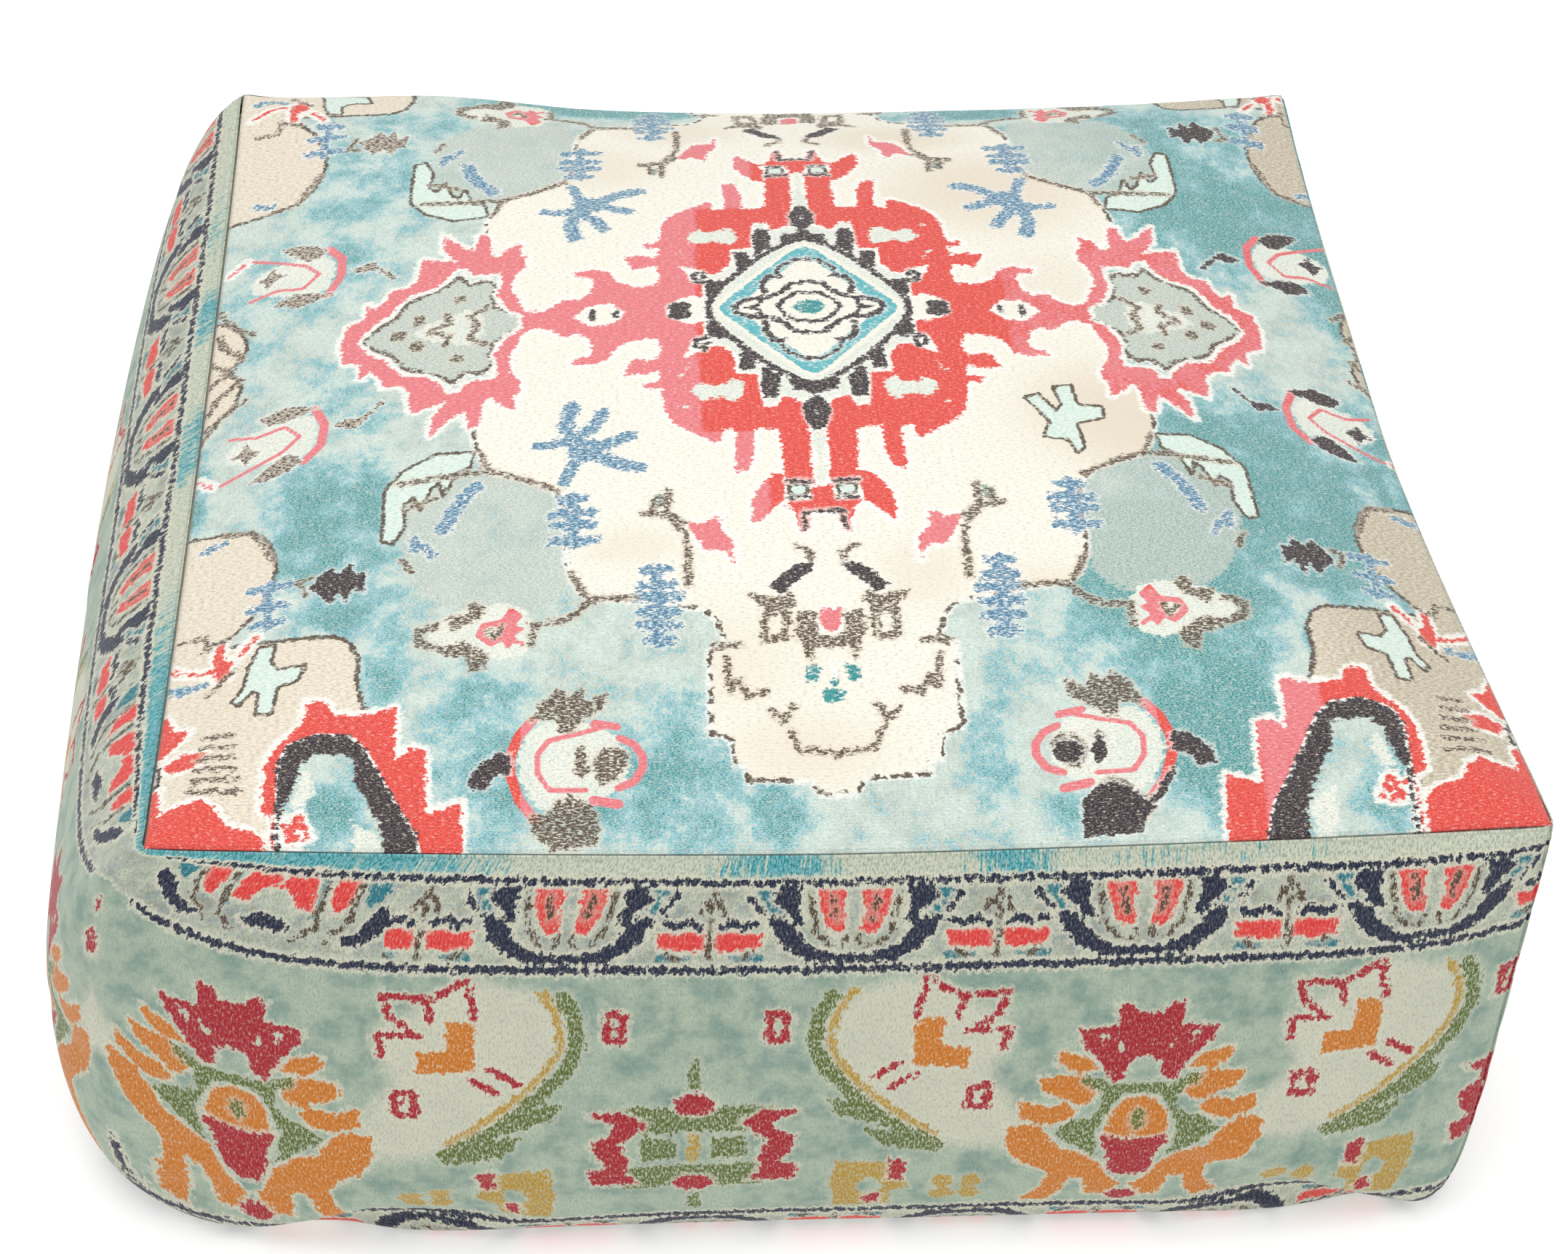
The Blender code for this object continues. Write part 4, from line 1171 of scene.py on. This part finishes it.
class Creases:
    """The cover's creases, as two grids: the top's, by (p, q), and the band's, by place and depth."""

    def __init__(self):
        self.top = np.zeros((CAGE + 1, CAGE + 1, 3))
        self.band = np.zeros((CAGE + 1, 8 * CAGE + 1, 3))
        cube, moved = settle_cover()
        p, q, r = cube.T
        on_top = r > 0.999
        i = np.round((p + 1) * CAGE / 2).astype(int)
        j = np.round((q + 1) * CAGE / 2).astype(int)
        self.top[j[on_top], i[on_top]] = moved[on_top]
        side = np.maximum(np.abs(p), np.abs(q)) > 0.999
        turn = np.round(square_place(p[side], q[side]) * 4 * CAGE).astype(int) % (4 * CAGE)
        deep = np.round((1 - r[side]) / 2 * CAGE).astype(int)
        self.band[deep, turn] = moved[side]
        self.band[deep, turn + 4 * CAGE] = moved[side]
        self.band[:, 8 * CAGE] = self.band[:, 0]

    def on_top(self, p, q):
        form = spread(self.top, (q + 1) * CAGE / 2, (p + 1) * CAGE / 2)
        form[..., 2] += hump(p, q) + dents(p, q)
        return form

    def on_band(self, place, v):
        place, v = np.broadcast_arrays(place, v)
        form = spread(self.band, v * CAGE, (place % 1.0 + 0.5) % 1.0 * 4 * CAGE + 2 * CAGE)
        p, q = rounded_square(place, 0.05)
        form[..., 2] += hump(p, q) * (1 - smooth(v * 3))
        return form


def hump(p, q):
    """The fold of cloth that stands a little proud along the left of the top's back edge."""
    return 7 * MM * smooth((q - 0.80) / 0.2) * np.exp(-((p + 0.62) / 0.20) ** 2)


def dents(p, q):
    """Shallow hollows and ridges in the top, where the filling lies unevenly."""
    spots = ((-0.55, -0.35, 0.30, 0.20, -2.5), (0.45, 0.30, 0.26, 0.22, -2.2),
        (0.62, -0.55, 0.22, 0.14, 1.8),
             (-0.20, 0.62, 0.30, 0.16, -2.0), (-0.75, 0.35, 0.16, 0.28, 1.6),
                 (0.05, -0.70, 0.34, 0.12, -1.8),
             (0.80, 0.10, 0.12, 0.30, -1.6), (-0.35, -0.80, 0.20, 0.10, 1.6))
    total = np.zeros(np.broadcast(p, q).shape)
    for x, y, wide, high, most in spots:
        total = total + most * MM * np.exp(-((p - x) / wide) ** 2 - ((q - y) / high) ** 2)
    return total * (1 - np.maximum(np.abs(p), np.abs(q)) ** 6)


def top_panel(creases):
    """The top: a dome whose edge rolls down to the stitches and on into its hem."""
    width = 2 * (TOP_HALF - ROLL_DEPTH - 0.2 * MM)
    steps = steps_across(width, 2 * MM)
    inner = np.clip(steps, 0, width)
    p, q = np.meshgrid((inner - width / 2) / TOP_HALF, (inner - width / 2) / TOP_HALF)
    points = top_surface(p, q) + creases.on_top(p, q)
    edge = np.minimum(inner, width - inner)
    ex, ey = np.meshgrid(edge, edge)
    points[..., 2] -= np.maximum(turned_in(ex), turned_in(ey))
    past_x, past_y = np.meshgrid(steps - inner, steps - inner)
    past = np.maximum(np.abs(past_x), np.abs(past_y))
    points[..., 0] -= 0.25 * past_x
    points[..., 1] -= 0.25 * past_y
    points[..., 2] -= 0.95 * past
    x, y = np.meshgrid((steps - width / 2) / MM, (steps - width / 2) / MM)
    mesh = grid_mesh("top_panel_cloth", points, np.stack([x, y], -1), top_print(x, y))
    piece = add_piece("top_panel_cloth", mesh, top_canvas())
    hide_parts("top_panel")
    return piece


def base_panel():
    """The plain underside, flat on the floor, with its hem turned in along the bottom seam."""
    width = 2.0
    steps = steps_across(width * TOP_HALF, 4 * MM) / TOP_HALF
    inner = np.clip(steps, 0.004, width - 0.004)
    p, q = np.meshgrid(1 - inner, inner - 1)
    points = base_surface(p, q)
    past_x, past_y = np.meshgrid((steps - inner) * TOP_HALF, (steps - inner) * TOP_HALF)
    past = np.maximum(np.abs(past_x), np.abs(past_y))
    points[..., 0] += past_x
    points[..., 1] -= past_y
    points[..., 2] += np.minimum(past * 0.5, 1.0 * MM)
    x, y = np.meshgrid(steps * TOP_HALF / MM, steps * TOP_HALF / MM)
    mesh = grid_mesh("bottom_panel_cloth", points, np.stack([x, y], -1), {})
    piece = add_piece("bottom_panel_cloth", mesh, plain_canvas())
    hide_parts("bottom_panel")


def strip(name, start, end, material, creases, high=None, low=None):
    """One strip of the band, from place start to end; high or low is the height of its zip edge, if any."""
    first, last = np.interp([start, end], ROUND, ROUND_LENGTH) + np.array([0.3, -0.3]) * MM
    steps = steps_across(last - first, 2 * MM)
    inner = np.clip(steps, 0, last - first)
    place = np.interp(inner + first, ROUND_LENGTH, ROUND)
    table = np.linspace(0, 1, 241)
    forms = band_surface(place[None, :], table[:, None])
    down = np.concatenate([np.zeros((1, len(place))),
        np.cumsum(np.linalg.norm(np.diff(forms, axis=0), axis=2), 0)])
    whole = down[-1]

    def drop_to(column, height):
        return np.interp(-height, -forms[:, column, 2], down[:, column])

    begin = np.full(len(place), ROLL_DEPTH + 0.2 * MM)
    finish = whole.copy()
    from_zip = np.abs(band_surface(place, 0.7)[:, 0] - ZIP_MIDDLE.x)
    closed = smooth((from_zip - ZIP_OPEN) / (8 * MM))                # past the zip's ends the two strips meet
    if high is not None:
        begin = np.array([drop_to(c, high + (74.7 * MM - high) * closed[c]) for c in range(len(place))])
    if low is not None:
        finish = np.array([drop_to(c, low + (75.3 * MM - low) * closed[c]) for c in range(len(place))])
    share = steps_across(float(np.mean(finish - begin)), 2 * MM) / np.mean(finish - begin)
    held = np.clip(share, 0, 1)
    fall = begin + held[:, None] * (finish - begin)
    v = np.stack([np.interp(fall[:, c], down[:, c], table) for c in range(len(place))], 1)
    points = band_surface(place[None, :], v)
    facing = outward(points)
    points = points + creases.on_band(place[None, :], v)
    points[..., 2] = np.maximum(points[..., 2], 0.6 * MM)

    # the vertical seams, the top seam and the bottom seam
    edge = np.minimum(inner, last - first - inner)[None, :]
    groove = np.broadcast_to(turned_in(edge), v.shape)
    if high is None:
        groove = np.maximum(groove, turned_in(fall - begin))
    if low is None:
        lift = turned_in(whole - fall)
        points[..., 2] += 0.6 * lift
    sideways = level(facing)
    points = points - sideways * groove[..., None]
    past = np.abs(steps - inner)[None, :, None]
    points = points - sideways * past
    beyond = (share - held)[:, None, None] * np.mean(finish - begin)
    above, below = np.maximum(-beyond, 0), np.maximum(beyond, 0)
    inward = -sideways
    if high is None:
        points = points + inward * above * 0.25 - np.array([0, 0, 0.95]) * above
    else:
        points = points + inward * np.minimum(above,
            0.8 * MM) - np.array([0, 0, 1.0]) * np.maximum(above - 0.8 * MM, 0)
    if low is None:
        points = points + inward * below + np.array([0, 0, 1.0]) * np.minimum(below * 0.5, 1.6 * MM)
    else:
        points = points + inward * np.minimum(below,
            0.8 * MM) + np.array([0, 0, 1.0]) * np.maximum(below - 0.8 * MM, 0)

    s = (steps + first) / MM
    depth = BAND_DEPTH * (fall + beyond[..., 0]) / whole
    s_grid = np.broadcast_to(s, depth.shape)
    mesh = grid_mesh(name, points, np.stack([s_grid, -depth], -1), band_print(s_grid, depth))
    mesh.flip_normals()
    piece = add_piece(name, mesh, material)
    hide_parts(name.replace("_cloth", ""))
    return piece


def inner_points(points, scale):
    """A surface of the cover shrunk about the middle of the cushion, for what lies inside it."""
    middle = SHIFT + (0, 0, 130 * MM)
    return middle + (points - middle) * scale


def ripples(points, size, seed):
    """A soft random height, about from -1 to 1, over points in space."""
    chance = np.random.default_rng(seed)
    total = np.zeros(points.shape[:-1])
    for _ in range(7):
        wave = chance.normal(size=3) * 2 * math.pi / size / 1.7
        total += np.sin(points @ wave + chance.uniform(0, 6.3))
    return total / 3.5


def muslin_cloth():
    f = Finish("muslin_weave", roughness=0.92, Sheen_Weight=0.1, Specular_IOR_Level=0.2)
    where = f.weave()
    slub = f.noise(where, 0.5, 3.0, 0.6, stretch=(0.3, 2.4, 1))
    return f.end(f.mix(slub.above(0.5, 0.3), dye(232, 226, 210), dye(214, 205, 184)), None, slub, 0.0003,
        0.5)


def fibre_wool():
    f = Finish("polyester_wool", roughness=0.95, Sheen_Weight=0.5, Sheen_Roughness=0.4,
        Specular_IOR_Level=0.2)
    where = f.node("ShaderNodeTexCoord", output="Object")
    tufts = f.node("ShaderNodeTexNoise", {"Vector": where, "Scale": 60.0, "Detail": 5.0, "Roughness": 0.7})
    return f.end(f.mix(tufts, dye(236, 238, 238), dye(250, 250, 248)), None, tufts, 0.003, 0.8)


def liner():
    """The muslin bag: a top, a base and a wall joined at the back."""
    cloth = muslin_cloth()
    side = np.linspace(-0.985, 0.985, 101)
    p, q = np.meshgrid(side, side)
    across = np.stack([p * 300, q * 300], -1)
    for name, points in (("liner_top", top_surface(p, q)),
        ("liner_base", base_surface(-p, q) + (0, 0, 1 * MM))):
        points = inner_points(points, 0.978)
        lift = ripples(points, 0.05, 3) * 0.5 * MM
        points[..., 2] += lift
        piece = add_piece(f"{name}_cloth", grid_mesh(f"{name}_cloth", points, across, {}), cloth)
        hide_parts(name)
    place, v = np.meshgrid(np.linspace(0.502, 1.498, 401), np.linspace(0.02, 0.985, 45))
    points = inner_points(band_surface(place, v), 0.978)
    points = points + outward(points) * (ripples(points, 0.06, 4) * 0.6 * MM)[..., None]
    mesh = grid_mesh("liner_wall_cloth", points, np.stack([place * 2400, -v * 264], -1), {})
    mesh.flip_normals()
    piece = add_piece("liner_wall_cloth", mesh, cloth)
    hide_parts("liner_wall")


def filling():
    """The fibre: one soft lump that fills the muslin bag."""
    mesh, cube = cage_form()
    mesh.name = "fibre_filling_wool"
    points = cube_to_cover(cube)
    middle = SHIFT + (0, 0, 130 * MM)
    points = inner_points(points, 0.955)
    points = points + (points - middle) * (ripples(points, 0.05, 5) * 0.004)[:, None]
    mesh.vertices.foreach_set("co", points.astype(np.float32).ravel())
    mesh.update()
    mesh.shade_smooth()
    piece = add_piece("fibre_filling_wool", mesh, fibre_wool())
    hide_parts("fibre_filling")


COIL_OFFSET = 1.75 * MM


def zip_tapes():
    """Two woven tapes, ribbed along their length."""
    f = Finish("tape_weave", roughness=0.8, Sheen_Weight=0.2, Specular_IOR_Level=0.3)
    where = f.node("ShaderNodeTexCoord", output="Object")
    parts = f.node("ShaderNodeSeparateXYZ", {0: where})
    x = Amount(f, parts.socket.node.outputs["X"])
    z = Amount(f, parts.socket.node.outputs["Z"])
    rib = ((x + z.math("PINGPONG", 1.2 * MM)) * (2 * math.pi / (0.9 * MM))).math("SINE")
    cloth = f.end(f.mix(rib.above(0.0, 1.6) * 0.4, dye(196, 186, 160), dye(226, 218, 196)), None, rib,
        0.0002, 0.6)
    for side in ("upper", "lower"):
        low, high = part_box(f"zip_tape_{side}")
        steps_x, steps_z = np.linspace(low.x, high.x, 231), np.linspace(low.z, high.z, 9)
        x, z = np.meshgrid(steps_x, steps_z)
        y = np.full(x.shape, (low.y + high.y) / 2) + 0.15 * MM * np.sin(x / 0.021)
        points = np.stack([x, y, z], -1)
        mesh = grid_mesh(f"zip_tape_{side}_cloth", points, np.stack([x, z], -1) / MM, {})
        mesh.flip_normals()
        piece = add_piece(f"zip_tape_{side}_cloth", mesh, cloth)
        thick = piece.modifiers.new("thickness", "SOLIDIFY")
        thick.thickness = 0.5 * MM
        thick.offset = 0.0
        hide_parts(f"zip_tape_{side}")


class Nodes:
    """A Geometry Nodes tree with named number inputs."""

    def __init__(self, name, **sizes):
        self.tree = bpy.data.node_groups.new(name, "GeometryNodeTree")
        self.tree.interface.new_socket("Geometry", in_out="OUTPUT", socket_type="NodeSocketGeometry")
        self.tree.interface.new_socket("Geometry", in_out="INPUT", socket_type="NodeSocketGeometry")
        for size, value in sizes.items():
            kind = "NodeSocketInt" if isinstance(value, int) else "NodeSocketFloat"
            self.tree.interface.new_socket(size, in_out="INPUT", socket_type=kind)
        self.sizes = sizes
        self.given = self.tree.nodes.new("NodeGroupInput")

    def add(self, kind, inputs=None, **settings):
        node = self.tree.nodes.new(kind)
        for name, value in settings.items():
            setattr(node, name, value)
        for name, value in (inputs or {}).items():
            if isinstance(value, bpy.types.NodeSocket):
                self.tree.links.new(value, node.inputs[name])
            else:
                node.inputs[name].default_value = value
        return node

    def size(self, name):
        return self.given.outputs[name]

    def made(self, geometry, material, mesh, name):
        """Ends the tree, runs it on a mesh and returns the plain mesh it makes."""
        real = self.add("GeometryNodeRealizeInstances", {"Geometry": geometry})
        painted = self.add("GeometryNodeSetMaterial", {"Geometry": real.outputs[0], "Material": material})
        end = self.tree.nodes.new("NodeGroupOutput")
        self.tree.links.new(painted.outputs[0], end.inputs["Geometry"])
        carrier = bpy.data.objects.new(name, mesh)
        bpy.context.scene.collection.objects.link(carrier)
        modifier = carrier.modifiers.new("nodes", "NODES")
        modifier.node_group = self.tree
        for item in self.tree.interface.items_tree:
            if item.in_out == "INPUT" and item.name in self.sizes:
                modifier[item.identifier] = self.sizes[item.name]
        seen = carrier.evaluated_get(bpy.context.evaluated_depsgraph_get())
        plain = bpy.data.meshes.new_from_object(seen)
        bpy.data.objects.remove(carrier)
        plain.name = name
        return plain


def zip_coils():
    """Two nylon coils, wound to lie between each other's turns."""
    f = Finish("coil_nylon", roughness=0.35, Specular_IOR_Level=0.5)
    where = f.node("ShaderNodeTexCoord", output="Object")
    tone = f.node("ShaderNodeTexNoise", {"Vector": where, "Scale": 900.0, "Detail": 1.0})
    nylon = f.end(f.mix(tone, dye(206, 196, 168), dye(236, 228, 206)), None, None)
    for side, sign in (("upper", 1), ("lower", -1)):
        low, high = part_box(f"zip_coil_{side}")
        tree = Nodes(f"coil_winding_{side}", Turns=330.0, Radius=0.80 * MM, Wire=0.28 * MM,
            Length=high.x - low.x - 2 * MM)
        spiral = tree.add("GeometryNodeCurveSpiral", {
            "Resolution": 10, "Rotations": tree.size("Turns"), "Start Radius": tree.size("Radius"),
            "End Radius": tree.size("Radius"), "Height": tree.size("Length")})
        wire = tree.add("GeometryNodeCurvePrimitiveCircle", {"Resolution": 5, "Radius": tree.size("Wire")})
        tube = tree.add("GeometryNodeCurveToMesh",
            {"Curve": spiral.outputs[0], "Profile Curve": wire.outputs[0]})
        laid = tree.add("GeometryNodeTransform", {
            "Geometry": tube.outputs[0], "Rotation": (0, math.pi / 2, 0),
            "Translation": (low.x + 1 * MM, ZIP_MIDDLE.y, ZIP_MIDDLE.z + sign * COIL_OFFSET)})
        mesh = tree.made(laid.outputs[0], nylon, bpy.data.meshes.new("empty"), f"zip_coil_{side}_winding")
        piece = add_piece(f"zip_coil_{side}_winding", mesh, None)
        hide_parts(f"zip_coil_{side}")


def zip_stitches():
    """Two rows of stitches beside the zip, on the band's two back strips."""
    f = Finish("sewing_thread", roughness=0.6, Sheen_Weight=0.2)
    where = f.node("ShaderNodeTexCoord", output="Object")
    tone = f.node("ShaderNodeTexNoise", {"Vector": where, "Scale": 300.0, "Detail": 1.0})
    thread = f.end(f.mix(tone, dye(196, 192, 176), dye(228, 224, 210)), None, None)
    rows = []
    for height in (84.5 * MM, 65.5 * MM):
        place = np.linspace(0.5 - 0.093, 0.5 + 0.093, 400)
        table = np.linspace(0.3, 0.98, 200)
        forms = band_surface(place[None, :], table[:, None])
        v = np.array([np.interp(-height, -forms[:, c, 2], table) for c in range(len(place))])
        rows.append(band_surface(place, v) + (0, 0.25 * MM, 0))
    mesh = bpy.data.meshes.new("stitch_lines")
    points = np.concatenate(rows)
    edges = [(i, i + 1) for i in range(399)] + [(i, i + 1) for i in range(400, 799)]
    mesh.from_pydata(points.tolist(), edges, [])
    tree = Nodes("stitch_rows", Pitch=3.4 * MM, Thread=0.32 * MM, Length=2.5 * MM)
    curve = tree.add("GeometryNodeMeshToCurve", {"Mesh": tree.given.outputs["Geometry"]})
    spots = tree.add("GeometryNodeCurveToPoints",
        {"Curve": curve.outputs[0], "Length": tree.size("Pitch")}, mode="LENGTH")
    half = tree.add("GeometryNodeMeshCylinder",
        {"Vertices": 6, "Radius": tree.size("Thread"), "Depth": tree.size("Length")})
    turned = tree.add("GeometryNodeTransform",
        {"Geometry": half.outputs[0], "Rotation": (0, math.pi / 2, 0)})
    aim = tree.add("FunctionNodeAlignRotationToVector", {"Vector": spots.outputs["Tangent"]}, axis="X")
    laid = tree.add("GeometryNodeInstanceOnPoints", {
        "Points": spots.outputs["Points"], "Instance": turned.outputs[0], "Rotation": aim.outputs[0]})
    made = tree.made(laid.outputs[0], thread, mesh, "zip_stitches")
    add_piece("zip_stitches", made, None)


def metal_parts():
    """The stops, the slider and the pull tab, in worn nickel."""
    f = Finish("worn_nickel", roughness=0.3, Metallic=1.0)
    where = f.node("ShaderNodeTexCoord", output="Object")
    cloud = f.node("ShaderNodeTexNoise", {"Vector": where, "Scale": 260.0, "Detail": 4.0, "Roughness": 0.6})
    scratch = f.node("ShaderNodeTexNoise", {"Vector": where, "Scale": 1400.0, "Detail": 2.0})
    colour = f.mix(cloud.above(0.55, 0.2) * 0.5, dye(206, 204, 198), dye(150, 146, 138))
    nickel = f.end(colour, cloud * 0.25 + 0.18, scratch, 0.00005, 0.4)
    for node in ("zip_top_stop_upper", "zip_top_stop_lower", "zip_bottom_stop", "zip_slider",
        "zip_pull_tab"):
        thing = bpy.data.objects[node]
        for index in range(len(thing.material_slots)):
            thing.material_slots[index].material = nickel


def studio():
    """A pale floor, soft light from above and the left, and the camera."""
    mesh = bpy.data.meshes.new("floor")
    mesh.from_pydata([(-6, -6, 0), (6, -6, 0), (6, 6, 0), (-6, 6, 0)], [], [(0, 1, 2, 3)])
    floor = bpy.data.objects.new("floor", mesh)
    f = Finish("floor_white", roughness=0.6, Specular_IOR_Level=0.2)
    f.shader.inputs["Base Color"].default_value = (0.90, 0.90, 0.90, 1)
    f.shader.inputs["Emission Color"].default_value = (1.0, 1.0, 1.0, 1)
    f.shader.inputs["Emission Strength"].default_value = 0.3
    mesh.materials.append(f.material)
    bpy.context.scene.collection.objects.link(floor)
    world = bpy.data.worlds.new("studio")
    world.use_nodes = True
    world.node_tree.nodes["Background"].inputs["Color"].default_value = (1.0, 1.0, 1.0, 1)
    world.node_tree.nodes["Background"].inputs["Strength"].default_value = 0.58
    bpy.context.scene.world = world
    for name, place, size, power in (("overhead", (-0.2, -0.2, 2.4), 2.0, 38),
        ("front", (0.9, -2.4, 1.6), 1.6, 5)):
        lamp = bpy.data.lights.new(name, "AREA")
        lamp.size = size
        lamp.energy = power
        thing = bpy.data.objects.new(name, lamp)
        thing.location = place
        thing.rotation_euler = (Vector((0, 0, 0.1)) - Vector(place)).to_track_quat("-Z", "Y").to_euler()
        bpy.context.scene.collection.objects.link(thing)
    lens = bpy.data.cameras.new("camera")
    lens.lens = 70.69
    lens.sensor_width = 36
    camera = bpy.data.objects.new("camera", lens)
    right, up = Vector((0.9975513, -0.0594726, 0.0368023)), Vector((0.0119798, 0.6637323, 0.7478743))
    turn = Matrix((right, up, right.cross(up))).transposed()
    camera.matrix_world = Matrix.Translation((-0.0895, -1.2230, 1.1947)) @ turn.to_4x4()
    bpy.context.scene.collection.objects.link(camera)
    bpy.context.scene.camera = camera
    bpy.context.scene.view_settings.view_transform = "Standard"


def main():
    creases = Creases()
    top_panel(creases)
    band = band_canvas()
    strip("side_band_front_left_cloth", 0.625 - 1.0, 0.125, band, creases)
    strip("side_band_right_cloth", 0.125, 0.375, band, creases)
    strip("side_band_back_upper_cloth", 0.375, 0.625, band, creases, low=80.5 * MM)
    strip("side_band_back_lower_cloth", 0.375, 0.625, band, creases, high=69.5 * MM)
    base_panel()
    liner()
    filling()
    zip_tapes()
    zip_coils()
    zip_stitches()
    metal_parts()
    studio()


main()
